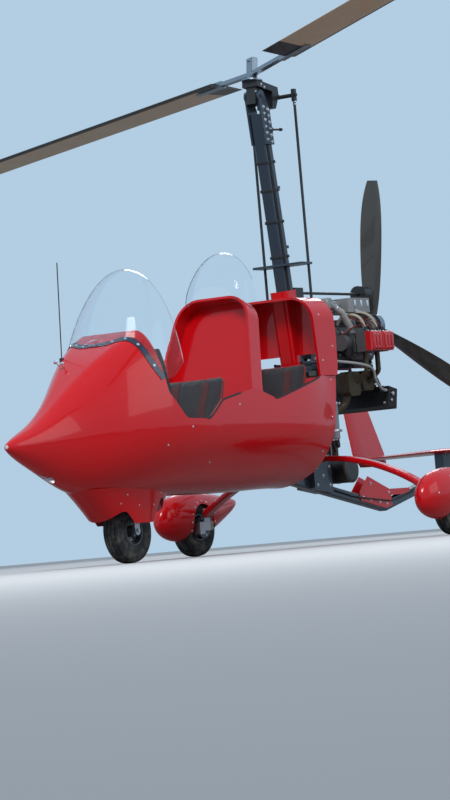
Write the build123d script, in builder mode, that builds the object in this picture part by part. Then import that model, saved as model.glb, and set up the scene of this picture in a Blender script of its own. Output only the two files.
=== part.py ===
from build123d import *
from math import atan2, cos, degrees, radians, sin, sqrt, tan
import os

os.makedirs("parts", exist_ok=True)

# Two-seat tandem gyrocopter standing on its three wheels. Millimetres and degrees.
# +X is forward, +Y to port (left), +Z up. The ground is Z = 0 and X = 0 is midway
# between the tip of the nose and the tail end.
overall_length = 4940.0
nose_overhang = 1000.0
wheelbase = 1930.0
track = 1760.0
nose_axle_x = overall_length / 2 - nose_overhang
main_axle_x = nose_axle_x - wheelbase
tail_x = -overall_length / 2
seat_gap = 0.3
moving_gap = 8.0


def ahead(distance):
    """X of a place that lies this far ahead of the main axle."""
    return main_axle_x + distance


def before_tail(distance):
    """X of a place that lies this far ahead of the tail end."""
    return tail_x + distance


def save(builder, name):
    """Label a finished piece and write its own STEP file."""
    builder.part.label = name
    export_step(builder.part, f"parts/{name}.step")


def tube_run(points, radius, bend=60.0):
    """Round bar along straight runs joined by tangent arcs; bend is one radius or a list."""
    with BuildPart() as run:
        with BuildLine() as path:
            if len(points) == 2:
                Line(*points)
            else:
                FilletPolyline(*points, radius=bend)
        start = path.line @ 0
        with BuildSketch(Plane(origin=start, z_dir=path.line % 0)):
            Circle(radius)
        sweep(path=path.line)
    return run.part


# Wheels: small balloon tyres on 6 inch rims, the same on all three axles
tyre_r = 170.0
tyre_width = 105.0
rim_r = 78.0
rim_width = 88.0
hub_r = 30.0
axle_r = 10.0
running_gap = 0.05
main_axle_z = tyre_r
nose_axle_z = tyre_r

# Pod: sections across the hull, from the nose tip to the rear edge
wall = 14.0
floor_z = 430.0
# columns: distance ahead of the main axle, belly z, widest z, crown z, half width, half width of the flat crown
pod_sections = [
    (2930, 624, 638, 652, 12, 2),
    (2868, 585, 640, 684, 40, 4),
    (2712, 511, 650, 748, 78, 10),
    (2494, 418, 668, 882, 135, 28),
    (2230, 356, 690, 1075, 248, 100),
    (1960, 345, 700, 1215, 334, 160),
    (1500, 343, 700, 1330, 368, 120),
    (900, 342, 695, 1380, 366, 80),
    (420, 345, 690, 1390, 345, 60),
    (100, 350, 690, 1390, 325, 60),
]
# side view of the cockpit rim, from the windscreen's foot aft to the rear cowl
sill_profile = [
    (1985, 1700), (1915, 880), (1800, 737), (1600, 730), (1455, 832), (1120, 892),
    (920, 828), (350, 956), (-100, 956), (-100, 1700),
]
sill_fillet = 60.0
# side view of the pod's slanting rear edge, from above the cowl down to the belly
rear_edge = [(146, 1700), (146, 1200), (172, 1000), (225, 850), (300, 600), (372, 420), (470, 300)]
rear_fillet = 50.0


def pod_section(station, low, widest, high, half_width, flat, skin=0.0, deck=None):
    """One closed egg across the hull, shrunk by the skin; deck flattens its floor."""
    bottom = low + skin
    if deck is not None and deck > bottom:
        bottom = min(deck, widest - 5)
    rise = high - skin - widest
    drop = widest - bottom
    side = half_width - skin
    with BuildSketch(Plane.YZ.offset(ahead(station))) as section:
        with BuildLine():
            EllipticalCenterArc((flat, widest), side - flat, rise, 0, arc_size=90)
            Line((flat, widest + rise), (-flat, widest + rise))
            EllipticalCenterArc((-flat, widest), side - flat, rise, 90, arc_size=90)
            EllipticalCenterArc((0, widest), side, drop, 180, arc_size=90)
            EllipticalCenterArc((0, widest), side, drop, 270, arc_size=90)
        make_face()
    return section.sketch


def pod_loft(skin=0.0, deck=None, front=0, rear=None):
    """The hull between two rows of the table as one solid."""
    with BuildPart() as hull:
        loft([pod_section(*row, skin=skin, deck=deck) for row in pod_sections[front:rear]])
    return hull.part


def behind_rear_edge(shift):
    """Everything aft of the pod's rear edge, which this moves forward by the shift."""
    with BuildPart() as region:
        with BuildSketch(Plane.XZ):
            with BuildLine():
                outline = [(ahead(x) + shift, z) for x, z in rear_edge]
                corners = [(ahead(-300), 300), (ahead(-300), 1700)]
                FilletPolyline(*outline, *corners, radius=rear_fillet, close=True)
            make_face()
        extrude(amount=700, both=True)
    return region.part


rear_region = behind_rear_edge(0)
with BuildPart() as hull_outer:
    add(pod_loft())
    add(rear_region, mode=Mode.SUBTRACT)
with BuildPart() as hull_inner:
    add(pod_loft(skin=wall, deck=floor_z, front=2))
    add(behind_rear_edge(wall), mode=Mode.SUBTRACT)

# Wheel well and chin fairing over the nose wheel
well_half_width = 122.0
fork_trail = 20.0
well_front = 205.0
well_end_r = 60.0
well_top_z = 388.0
stem_r = 17.0
chin_wall = 9.0
chin_low_z = 208.0

with BuildPart() as sill_cut:
    with BuildSketch(Plane.XZ):
        with BuildLine():
            FilletPolyline(*[(ahead(x), z) for x, z in sill_profile], radius=sill_fillet, close=True)
        make_face()
    extrude(amount=700, both=True)

with BuildPart() as well:
    with BuildSketch():
        with Locations((nose_axle_x, 0)):
            SlotCenterToCenter(2 * (well_front - well_end_r), 2 * well_half_width)
    extrude(amount=well_top_z)

# Mast: a tube that leans forward from the keel to the rotor head
mast_lean = 6.5
mast_foot_x = ahead(63)
mast_foot_z = 522.0
mast_top_z = 2478.0
mast_depth = 82.0
mast_width = 74.0
mast_corner = 12.0
mast_axis = Vector(sin(radians(mast_lean)), 0, cos(radians(mast_lean)))


def mast_point(z, aft=0.0, port=0.0):
    """A place beside the mast's centre line at this height."""
    x = mast_foot_x + (z - mast_foot_z) * tan(radians(mast_lean))
    return Vector(x - aft, port, z)


def mast_bar(depth, width, z_low, z_high, corner=mast_corner):
    """Bar along the mast's own line between two heights."""
    foot = mast_point(z_low)
    length = (z_high - z_low) / cos(radians(mast_lean))
    with BuildPart() as bar:
        with BuildSketch(Plane(origin=foot, x_dir=(cos(radians(mast_lean)), 0, -sin(radians(mast_lean))),
                               z_dir=mast_axis)):
            RectangleRounded(depth, width, corner)
        extrude(amount=length)
    return bar.part


mast_clearance = mast_bar(mast_depth + 2 * seat_gap, mast_width + 2 * seat_gap, 300, mast_top_z)

# Keel: a square tube under the pod, kinked upwards behind the propeller
keel_size = 54.0
keel_front = (ahead(415), 412.0)
keel_kink = (ahead(-700), 200.0)
keel_tail = (before_tail(205), 440.0)


def keel_z(x):
    """Height of the keel's centre line."""
    x0, z0 = keel_front if x > keel_kink[0] else keel_tail
    return keel_kink[1] + (x - keel_kink[0]) * (z0 - keel_kink[1]) / (x0 - keel_kink[0])


def keel_bar(gap=0.0):
    """The keel's two straight runs as one solid, square with rounded corners, larger by the gap."""
    size = keel_size + 2 * gap
    runs = []
    for (x0, z0), (x1, z1) in ((keel_front, keel_kink), (keel_kink, keel_tail)):
        along = Vector(x1 - x0, 0, z1 - z0)
        if (x0, z0) == keel_front:
            x0, z0 = x0 + gap, keel_z(x0 + gap)
            along = Vector(x1 - x0, 0, z1 - z0)
        with BuildPart() as run:
            with BuildSketch(Plane(origin=(x0, 0, z0), x_dir=(0, 1, 0), z_dir=along)):
                RectangleRounded(size, size, size * 0.15)
            extrude(amount=along.length)
        runs.append(run.part)
    with BuildPart() as bar:
        for run in runs:
            add(run)
        with Locations((keel_kink[0], 0, keel_kink[1])):
            Cylinder(size / 2, size * 0.7, rotation=(90, 0, 0))
    return bar.part


keel_clearance = keel_bar(seat_gap)

with BuildPart() as pod_shell:
    add(hull_outer.part)
    add(hull_inner.part, mode=Mode.SUBTRACT)
    add(sill_cut.part, mode=Mode.SUBTRACT)
    add(well.part, mode=Mode.SUBTRACT)
    with Locations((nose_axle_x + fork_trail, 0, floor_z)):
        Cylinder(stem_r + running_gap, 200, mode=Mode.SUBTRACT)
    add(keel_clearance, mode=Mode.SUBTRACT)
    add(mast_clearance, mode=Mode.SUBTRACT)
save(pod_shell, "pod_shell")

# Chin fairing: a skirt round the nose wheel, open below
with BuildPart() as chin_fairing:
    # columns: height, centre ahead of the nose axle, half length, half width
    for z, shift, half_length, half_width in (
        (chin_low_z, 10, 236, well_half_width + chin_wall),
        (290, 25, 315, well_half_width + chin_wall + 9),
        (400, 50, 430, well_half_width + chin_wall + 24),
    ):
        with BuildSketch(Plane.XY.offset(z)):
            with Locations((nose_axle_x + shift, 0)):
                Ellipse(half_length, half_width)
    loft()
    add(hull_outer.part, mode=Mode.SUBTRACT)
    add(well.part, mode=Mode.SUBTRACT)
save(chin_fairing, "chin_fairing")

# Cowl behind the rear seat, which wraps round the foot of the mast
cowl_half_width = 312.0
cowl_top_half_width = 287.0
cowl_low_z = 956.0
cowl_high_z = 1412.0
cowl_corner = 150.0
cowl_front_x = ahead(365)
pod_rear_x = ahead(rear_edge[0][0])
hump_depth = 90.0
hump_width = 44.0
hump_rise = 55.0


def cowl_arch(skin, start):
    """Outline of the cowl across the hull, shrunk by the skin, on a plane at this x."""
    foot, top, high = cowl_half_width - skin, cowl_top_half_width - skin, cowl_high_z - skin
    with BuildSketch(Plane.YZ.offset(start)) as arch:
        with BuildLine():
            FilletPolyline((-foot, cowl_low_z), (-top, high), (top, high), (foot, cowl_low_z),
                           radius=cowl_corner - skin)
            Line((foot, cowl_low_z), (-foot, cowl_low_z))
        make_face()
    return arch.sketch


with BuildPart() as rear_cowl:
    extrude(cowl_arch(0, pod_rear_x), amount=cowl_front_x - pod_rear_x)
    extrude(cowl_arch(wall, pod_rear_x + wall), amount=cowl_front_x - pod_rear_x, mode=Mode.SUBTRACT)
    add(mast_bar(mast_depth + hump_depth, mast_width + hump_width, cowl_low_z, cowl_high_z + hump_rise, 30))
    add(rear_region, mode=Mode.SUBTRACT)
    add(mast_clearance, mode=Mode.SUBTRACT)
    split(bisect_by=Plane.XY.offset(cowl_low_z), keep=Keep.TOP)
save(rear_cowl, "rear_cowl")

# Front seat back: a red hoop-shaped shell that leans aft and carries the rear screen
hoop_foot = (ahead(1240), 436.0)
hoop_tilt = 18.0
hoop_height = 1035.0
hoop_depth = 105.0
hoop_foot_half_width = 165.0
hoop_half_width = 328.0
hoop_top_half_width = 225.0
hoop_waist = 435.0
hoop_corner = 150.0
hoop_plane = Plane(origin=(hoop_foot[0], 0, hoop_foot[1]), x_dir=(0, -1, 0),
                   z_dir=(-cos(radians(hoop_tilt)), 0, -sin(radians(hoop_tilt))))


def hoop_outline(skin):
    """Arch of the hoop in its own leaning plane: local x to port, local y up the back."""
    foot, waist, top = (width - skin for width in (hoop_foot_half_width, hoop_half_width, hoop_top_half_width))
    with BuildSketch(hoop_plane) as arch:
        with BuildLine():
            FilletPolyline((-foot, 0), (-waist, hoop_waist), (-top, hoop_height - skin),
                           (top, hoop_height - skin), (waist, hoop_waist), (foot, 0), radius=hoop_corner - skin)
            Line((foot, 0), (-foot, 0))
        make_face()
    return arch.sketch


with BuildPart() as hoop_block:
    extrude(hoop_outline(0), amount=hoop_depth)

with BuildPart() as seat_hoop:
    add(hoop_block.part)
    extrude(hoop_outline(wall), amount=hoop_depth - wall, mode=Mode.SUBTRACT)
    add(pod_shell.part, mode=Mode.SUBTRACT)
save(seat_hoop, "seat_hoop")

# Main gear: one arched composite leg, from wheel to wheel
bow_r = 1298.0
bow_top_z = 500.0
bow_thickness = 32.0
bow_chord = 78.0
bow_edge_r = 11.0
bow_end_y = track / 2 - 103


def bow_bar(thickness, chord):
    """The arched leg as part of a ring, square in section."""
    centre_z = bow_top_z - bow_r
    reach = bow_end_y + thickness
    angle = degrees(atan2(reach, sqrt(bow_r**2 - reach**2)))
    with BuildPart() as bow:
        with BuildSketch(Plane.YZ.offset(main_axle_x - chord / 2)):
            with BuildLine():
                CenterArc((0, centre_z), bow_r + thickness / 2, 90 - angle, 2 * angle)
                CenterArc((0, centre_z), bow_r - thickness / 2, 90 - angle, 2 * angle)
                for side in (-1, 1):
                    direction = Vector(side * sin(radians(angle)), cos(radians(angle)))
                    Line(Vector(0, centre_z) + direction * (bow_r - thickness / 2),
                         Vector(0, centre_z) + direction * (bow_r + thickness / 2))
            make_face()
        extrude(amount=chord)
        split(bisect_by=Plane.XZ.offset(-bow_end_y), keep=Keep.TOP)
        split(bisect_by=Plane.XZ.offset(bow_end_y), keep=Keep.BOTTOM)
    return bow.part


with BuildPart() as gear_bow:
    add(bow_bar(bow_thickness, bow_chord))
    fillet(gear_bow.edges().filter_by(GeomType.CIRCLE), bow_edge_r)
save(gear_bow, "gear_bow")

# Saddle that joins the keel, the leg and the foot of the mast
saddle_half_width = 62.0
saddle_profile = [(-70, 300), (125, 330), (125, mast_foot_z), (-55, mast_foot_z)]
with BuildPart() as gear_saddle:
    with BuildSketch(Plane.XZ):
        with BuildLine():
            Polyline(*[(ahead(x), z) for x, z in saddle_profile], close=True)
        make_face()
    extrude(amount=saddle_half_width, both=True)
    add(keel_clearance, mode=Mode.SUBTRACT)
    add(bow_bar(bow_thickness + 2 * seat_gap, bow_chord + 2 * seat_gap), mode=Mode.SUBTRACT)
save(gear_saddle, "gear_saddle")

tie_down_x = before_tail(670)
tie_down_r = 7.0
with BuildPart() as keel:
    add(keel_bar())
    with Locations((tie_down_x, 0, keel_z(tie_down_x))):
        Cylinder(tie_down_r, 2 * keel_size, rotation=(90, 0, 0), mode=Mode.SUBTRACT)
save(keel, "keel")

mast_foot_lift = 5.0
with BuildPart() as mast:
    add(mast_bar(mast_depth, mast_width, mast_foot_z + mast_foot_lift, mast_top_z))
save(mast, "mast")

# Gusset plates and the brace across the keel's kink
gusset_thickness = 5.0
gusset_outline = [(-510, 382), (-404, 290), (-412, 242), (-690, 190), (-765, 205), (-751, 298)]
brace_front = ahead(-600)
brace_rear = ahead(-985)
brace_z = 283.0
brace_height = 36.0
with BuildPart() as keel_gusset:
    for y in (-keel_size / 2 - seat_gap - gusset_thickness, keel_size / 2 + seat_gap):
        with BuildSketch(Plane.XZ.offset(-y)):
            with BuildLine():
                Polyline(*[(ahead(x), z) for x, z in gusset_outline], close=True)
            make_face()
        extrude(amount=-gusset_thickness)
    with Locations(((brace_front + brace_rear) / 2, 0, brace_z)):
        Box(brace_front - brace_rear, keel_size + 2 * seat_gap, brace_height)
    add(keel_clearance, mode=Mode.SUBTRACT)
save(keel_gusset, "keel_gusset")

# Nose wheel fork, steered by the pedals through the stem's arm
stem_x = nose_axle_x + fork_trail
blade_gap = tyre_width / 2 + moving_gap
blade_thickness = 8.0
blade_half_chord = 30.0
crown_low_z = nose_axle_z + tyre_r + moving_gap + 4
crown_thickness = 18.0
crown_length = 76.0
crown_corner = 20.0
axle_boss_r = 24.0
axle_end = 9.0
collar_r = stem_r + 15.0
steer_arm = (34.0, 190.0, 12.0)
stem_top_z = floor_z + 34
stem_base = (Align.CENTER, Align.CENTER, Align.MIN)
with BuildPart() as nose_fork:
    with Locations((stem_x, 0, crown_low_z)):
        Box(crown_length, 2 * (blade_gap + blade_thickness), crown_thickness, align=stem_base)
    fillet(nose_fork.edges().filter_by(Axis.Z), crown_corner)
    for side in (-1, 1):
        with BuildSketch(Plane.XZ.offset(side * (blade_gap + blade_thickness / 2) - blade_thickness / 2)):
            with BuildLine():
                Polyline((nose_axle_x - axle_boss_r + 2, nose_axle_z),
                         (stem_x - blade_half_chord, crown_low_z + crown_thickness),
                         (stem_x + blade_half_chord, crown_low_z + crown_thickness),
                         (nose_axle_x + axle_boss_r - 2, nose_axle_z), close=True)
            make_face()
            with Locations((nose_axle_x, nose_axle_z)):
                Circle(axle_boss_r)
        extrude(amount=blade_thickness)
    with Locations((nose_axle_x, 0, nose_axle_z)):
        Cylinder(axle_r, 2 * (blade_gap + blade_thickness + axle_end), rotation=(90, 0, 0))
    with Locations((stem_x, 0, crown_low_z + crown_thickness)):
        Cylinder(stem_r, stem_top_z - crown_low_z - crown_thickness, align=stem_base)
        Cylinder(collar_r, well_top_z - seat_gap - crown_low_z - crown_thickness, align=stem_base)
    with Locations((stem_x, 0, stem_top_z)):
        Box(*steer_arm, align=(Align.CENTER, Align.CENTER, Align.MAX))
save(nose_fork, "nose_fork")

rim_flange = 8.0
rim_half = rim_width / 2
web_front = 7.0
web_back = 11.0
with BuildPart() as wheel_rim_shape:
    with BuildSketch():
        with BuildLine():
            bore_r = axle_r + running_gap
            Polyline((bore_r, -rim_half), (hub_r, -rim_half), (hub_r, -web_front), (rim_r - rim_flange, -web_back),
                     (rim_r - rim_flange, -rim_half), (rim_r, -rim_half), (rim_r, rim_half),
                     (rim_r - rim_flange, rim_half), (rim_r - rim_flange, web_back), (hub_r, web_front),
                     (hub_r, rim_half), (bore_r, rim_half), close=True)
        make_face()
    revolve(axis=Axis.Y)

shoulder = 14.0
bulge_r = rim_r + 44.0
with BuildPart() as tyre_shape:
    with BuildSketch():
        with BuildLine():
            half = tyre_width / 2
            ThreePointArc((rim_r, -rim_half), (bulge_r, -half), (tyre_r - shoulder, -half + shoulder))
            ThreePointArc((tyre_r - shoulder, -half + shoulder), (tyre_r, 0), (tyre_r - shoulder, half - shoulder))
            ThreePointArc((tyre_r - shoulder, half - shoulder), (bulge_r, half), (rim_r, rim_half))
            Line((rim_r, rim_half), (rim_r, -rim_half))
        make_face()
    revolve(axis=Axis.Y)

with BuildPart() as nose_rim:
    with Locations((nose_axle_x, 0, nose_axle_z)):
        add(wheel_rim_shape.part)
save(nose_rim, "nose_rim")
with BuildPart() as nose_tyre:
    with Locations((nose_axle_x, 0, nose_axle_z)):
        add(tyre_shape.part)
save(nose_tyre, "nose_tyre")

# Main wheels, each with its brake disc behind the rim
disc_r = 66.0
disc_thickness = 5.0
disc_offset = 74.0
for side, word in ((1, "left"), (-1, "right")):
    wheel_y = side * track / 2
    with BuildPart() as main_rim:
        with Locations((main_axle_x, wheel_y, main_axle_z)):
            add(wheel_rim_shape.part)
        with Locations((main_axle_x, wheel_y - side * disc_offset, main_axle_z)):
            Cylinder(disc_r, disc_thickness, rotation=(90, 0, 0))
            Cylinder(bore_r, disc_thickness + 1, rotation=(90, 0, 0), mode=Mode.SUBTRACT)
        with Locations((main_axle_x, wheel_y - side * (rim_half + disc_offset) / 2, main_axle_z)):
            Cylinder(hub_r, disc_offset - rim_half, rotation=(90, 0, 0))
            Cylinder(bore_r, disc_offset, rotation=(90, 0, 0), mode=Mode.SUBTRACT)
    save(main_rim, f"main_rim_{word}")
    with BuildPart() as main_tyre:
        with Locations((main_axle_x, wheel_y, main_axle_z)):
            add(tyre_shape.part)
    save(main_tyre, f"main_tyre_{word}")

# Stub axles on the leg's two ends, each with its brake caliper
pad_gap = 5.0
axle_plate = (64.0, 10.0, 130.0)
axle_plate_lift = 42.0
caliper = (52.0, 46.0, 70.0)
caliper_ahead = 56.0
caliper_drop = 6.0
spat_room = 64.0
with BuildPart() as main_axles:
    for side in (-1, 1):
        axle_length = track / 2 + spat_room - seat_gap - bow_end_y
        with Locations((main_axle_x, side * (bow_end_y + axle_plate[1] / 2), main_axle_z + axle_plate_lift)):
            Box(*axle_plate)
        with Locations((main_axle_x + caliper_ahead, side * (bow_end_y + caliper[1] / 2), main_axle_z - caliper_drop)):
            Box(*caliper)
        with Locations((main_axle_x, side * (track / 2 - disc_offset), main_axle_z)):
            Cylinder(disc_r + pad_gap, disc_thickness + 2 * pad_gap, rotation=(90, 0, 0), mode=Mode.SUBTRACT)
        with Locations((main_axle_x, side * (bow_end_y + axle_length / 2), main_axle_z)):
            Cylinder(axle_r, axle_length, rotation=(90, 0, 0))
save(main_axles, "main_axles")

# Teardrop spats over the main wheels, open below and towards the leg
spat_half_width = 88.0
spat_opening_r = 112.0
tyre_room = [(140, -spat_room), (184, -26), (184, 26), (140, spat_room)]
# columns: distance ahead of the axle, centre z, half height, share of the half width
spat_sections = [
    (372, 215, 22, 0.16), (345, 220, 70, 0.50), (280, 226, 112, 0.80), (150, 234, 140, 0.98),
    (0, 242, 138, 1.0), (-180, 258, 106, 0.82), (-350, 282, 58, 0.46), (-462, 302, 12, 0.10),
]
with BuildPart() as wheel_cavity:
    with BuildSketch():
        with BuildLine():
            Polyline((0, -spat_room), *tyre_room, (0, spat_room), close=True)
        make_face()
    revolve(axis=Axis.Y)

with BuildPart() as spats:
    for side in (-1, 1):
        sections = []
        for station, centre_z, half_height, share in spat_sections:
            with BuildSketch(Plane.YZ.offset(ahead(station))) as section:
                with Locations((side * track / 2, centre_z)):
                    Ellipse(spat_half_width * share, half_height)
            sections.append(section.sketch)
        loft(sections)
        with Locations((main_axle_x, side * track / 2, main_axle_z)):
            add(wheel_cavity.part, mode=Mode.SUBTRACT)
        with Locations((main_axle_x, side * (track / 2 - 100), main_axle_z + 25)):
            Cylinder(spat_opening_r, 120, rotation=(90, 0, 0), mode=Mode.SUBTRACT)
save(spats, "spats")

# Propeller: three blades on a small hub, behind the engine's gearbox
prop_x = ahead(-770)
prop_z = 1270.0
prop_r = 860.0
prop_hub_r = 72.0
prop_hub_length = 46.0
prop_turn = -6.0
spinner_r = 34.0
spinner_length = 40.0
blade_front = 0.4
# columns: share of the radius, chord, thickness, pitch angle
prop_sections = [(0.075, 62, 34, 42), (0.25, 104, 24, 34), (0.55, 128, 15, 20), (0.85, 112, 10, 14), (1.0, 62, 6, 12)]


def teardrop(plane, nose, tail, thickness, tail_thickness):
    """Wing-like section: half an ellipse in front, straight flanks, blunt tail edge."""
    widest = nose + 0.3 * (tail - nose)
    with BuildSketch(plane) as section:
        with BuildLine():
            EllipticalCenterArc((widest, 0), abs(widest - nose), thickness / 2, 90, arc_size=180)
            Polyline((widest, -thickness / 2), (tail, -tail_thickness / 2), (tail, tail_thickness / 2),
                     (widest, thickness / 2))
        make_face()
    return section.sketch


with BuildPart() as prop_blade:
    sections = []
    for share, chord, thickness, pitch in prop_sections:
        across = Vector(sin(radians(pitch)), -cos(radians(pitch)), 0)
        plane = Plane(origin=(0, 0, share * prop_r), x_dir=across, z_dir=(0, 0, 1))
        sections.append(teardrop(plane, -blade_front * chord, (1 - blade_front) * chord, thickness, 0.15 * thickness))
    loft(sections)

with BuildPart() as prop_blades:
    for number in range(3):
        with Locations(Location((prop_x, 0, prop_z), (prop_turn + 120 * number, 0, 0))):
            add(prop_blade.part)
save(prop_blades, "prop_blades")

with BuildPart() as prop_hub:
    with BuildSketch(Plane.YZ.offset(prop_x)):
        with Locations((0, prop_z)):
            Circle(prop_hub_r)
    extrude(amount=prop_hub_length / 2, both=True)
    add(prop_blades.part, mode=Mode.SUBTRACT)
    with BuildSketch(Plane.YZ.offset(prop_x - prop_hub_length / 2)):
        with Locations((0, prop_z)):
            Circle(spinner_r)
    extrude(amount=-spinner_length, taper=12)
save(prop_hub, "prop_hub")

# Engine: flat four with a raised propeller gearbox, carried behind the mast
engine_front_x = ahead(-200)
crank_z = 1155.0
case_length = 400.0
case_half_width = 92.0
case_height = 200.0
case_corner = 34.0
gear_length = 118.0
gear_half_width = 74.0
output_r = 36.0
cylinder_pitch = 130.0
first_cylinder = 115.0
cylinder_x = [engine_front_x - first_cylinder - number * cylinder_pitch for number in range(2)]
engine_rear_x = engine_front_x - case_length
starter_r = 46.0
starter_y = 122.0
with BuildPart() as engine_block:
    with BuildSketch(Plane.YZ.offset(engine_front_x)):
        with Locations((0, crank_z)):
            RectangleRounded(2 * case_half_width, case_height, case_corner)
    extrude(amount=-case_length)
    with BuildSketch(Plane.YZ.offset(engine_rear_x)):
        with Locations((0, (crank_z + prop_z) / 2)):
            SlotCenterToCenter(prop_z - crank_z, 2 * gear_half_width, rotation=90)
    extrude(amount=-gear_length, taper=4)
    with Locations((prop_x + prop_hub_length / 2, 0, prop_z)):
        Cylinder(output_r, engine_rear_x - gear_length - prop_x - prop_hub_length / 2, rotation=(0, 90, 0),
                 align=(Align.CENTER, Align.CENTER, Align.MIN))
    with Locations((engine_front_x - 15, starter_y, crank_z)):
        Cylinder(starter_r, 60, rotation=(0, 90, 0))
save(engine_block, "engine_block")

barrel_r = 46.0
fin_r = 60.0
fin_pitch = 17.0
head_y = case_half_width + 128
head_size = (120.0, 60.0, 118.0)
with BuildPart() as cylinder_heads:
    for side in (-1, 1):
        for x in cylinder_x:
            with Locations((x, side * (case_half_width + 50), crank_z)):
                Cylinder(barrel_r, 100, rotation=(90, 0, 0))
            for fin in range(5):
                with Locations((x, side * (case_half_width + 14 + fin * fin_pitch), crank_z)):
                    Cylinder(fin_r, 7, rotation=(90, 0, 0))
            with Locations((x, side * head_y, crank_z)):
                Box(*head_size)
save(cylinder_heads, "cylinder_heads")

cover_size = (116.0, 42.0, 112.0)
cover_corner = 12.0
with BuildPart() as rocker_covers:
    for side in (-1, 1):
        for x in cylinder_x:
            with Locations((x, side * (head_y + (head_size[1] + cover_size[1]) / 2), crank_z)):
                Box(*cover_size)
    fillet(rocker_covers.edges().group_by(Axis.Y)[0], cover_corner)
    fillet(rocker_covers.edges().group_by(Axis.Y)[-1], cover_corner)
save(rocker_covers, "rocker_covers")

# Engine frame: rails from the mast back under the crankcase, and side tubes down to the radiator
rail_r = 14.0
rail_y = 56.0
mount_height = 14.0
rail_z = crank_z - case_height / 2 - mount_height - rail_r
side_tube_r = 10.0
side_tube_y = 150.0
side_tube_path = [(105, 1050), (-390, 1035), (-460, 1000), (-530, 915), (-585, 815)]
cross_tubes = [(-30, 1046), (-345, 1036)]
clamp_size = (96.0, 2 * (rail_y + rail_r), 60.0)
with BuildPart() as engine_frame:
    for side in (-1, 1):
        rail_front = mast_point(rail_z).X
        add(tube_run([(rail_front, side * rail_y, rail_z), (engine_rear_x + 45, side * rail_y, rail_z)], rail_r))
        with Locations((engine_front_x - 60, side * rail_y, rail_z + rail_r),
                       (engine_rear_x + 80, side * rail_y, rail_z + rail_r)):
            Cylinder(20, 2 * mount_height, align=(Align.CENTER, Align.CENTER, Align.CENTER))
        add(tube_run([(ahead(x), side * side_tube_y, z) for x, z in side_tube_path], side_tube_r, 50.0))
    for x, z in cross_tubes:
        with Locations((ahead(x), 0, z)):
            Cylinder(side_tube_r, 2 * side_tube_y, rotation=(90, 0, 0))
    with Locations((mast_point(rail_z).X - 14, 0, rail_z)):
        Box(*clamp_size)
    add(mast_clearance, mode=Mode.SUBTRACT)
    add(engine_block.part, mode=Mode.SUBTRACT)
save(engine_frame, "engine_frame")

# Radiator below the engine, on the ends of the side tubes
radiator_x = ahead(-590)
radiator_y = -15.0
radiator_z = 830.0
radiator_size = (96.0, 430.0, 118.0)
radiator_tilt = -12.0
with BuildPart() as radiator:
    with Locations(Location((radiator_x, radiator_y, radiator_z), (0, radiator_tilt, 0))):
        Box(*radiator_size)
        with Locations((0, 0, radiator_size[2] / 2)):
            Box(30, 300, 20)
    add(engine_frame.part, mode=Mode.SUBTRACT)
save(radiator, "radiator")

# Oil canister on two arms from the mast, and the silencer in front of the engine, on the gear saddle
canister_x = ahead(40)
canister_y = 165.0
canister_r = 35.0
canister_low_z = 600.0
canister_high_z = 815.0
canister_arms = (650.0, 775.0)
arm_size = (30.0, 110.0, 20.0)
with BuildPart() as canister:
    with Locations((canister_x, canister_y, canister_low_z)):
        Cylinder(canister_r, canister_high_z - canister_low_z, align=stem_base)
    fillet(canister.edges().filter_by(GeomType.CIRCLE), 6)
    with Locations((canister_x, canister_y, canister_high_z)):
        Cylinder(20, 30)
    for z in canister_arms:
        with Locations((canister_x + 20, canister_y - canister_r - arm_size[1] / 2 + 20, z)):
            Box(*arm_size)
    add(mast_clearance, mode=Mode.SUBTRACT)
save(canister, "canister")

silencer_x = ahead(-190)
silencer_y = -20.0
silencer_z = 425.0
silencer_r = 75.0
silencer_length = 290.0
with BuildPart() as silencer:
    with Locations((silencer_x, silencer_y, silencer_z)):
        Cylinder(silencer_r, silencer_length, rotation=(90, 0, 0))
    fillet(silencer.edges().filter_by(GeomType.CIRCLE), 16)
    with Locations((silencer_x + silencer_r + 15, 0, silencer_z)):
        Box(80, 90, 40)
    add(gear_saddle.part, mode=Mode.SUBTRACT)
save(silencer, "silencer")

# Intake: a plenum across the front of the engine, an air box above it and the pipes down to the cylinders
plenum_x = ahead(-112)
plenum_z = 1386.0
plenum_r = 34.0
pipe_r = 17.0
air_box = (230.0, 190.0, 84.0)
air_box_x = ahead(-500)
air_box_z = 1382.0
# columns: distance ahead, distance from the centreline, height, along each pipe from top to bottom
front_pipe = [(-112, 110, 1386), (-200, 138, 1332), (-268, 145, 1250), (-290, 145, 1190)]
rear_pipe = [(-430, 90, 1350), (-445, 128, 1321), (-550, 122, 1268), (-572, 84, 1232)]
with BuildPart() as intake:
    with Locations((plenum_x, 0, plenum_z)):
        Cylinder(plenum_r, 250, rotation=(90, 0, 0))
    fillet(intake.edges().filter_by(GeomType.CIRCLE), 10)
    with BuildSketch(Plane.XY.offset(air_box_z - air_box[2] / 2)):
        with Locations((air_box_x, 0)):
            RectangleRounded(air_box[0], air_box[1], 30)
    extrude(amount=air_box[2])
    with Locations((air_box_x, 0, air_box_z - air_box[2] / 2)):
        Cylinder(40, 180)
    with Locations(((plenum_x + air_box_x) / 2, 0, plenum_z)):
        Cylinder(26, plenum_x - air_box_x - 60, rotation=(0, 90, 0))
    for side in (-1, 1):
        for path in (front_pipe, rear_pipe):
            add(tube_run([(ahead(x), side * y, z) for x, y, z in path], pipe_r, 30.0))
    add(engine_block.part, mode=Mode.SUBTRACT)
    add(cylinder_heads.part, mode=Mode.SUBTRACT)
save(intake, "intake")

# Exhaust: pipes from the heads into a box under each cylinder, and down to the silencer
header_r = 15.0
header_y = 207.0
down_pipe_r = 20.0
exhaust_y = 103.0
exhaust_half = 33.0
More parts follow.
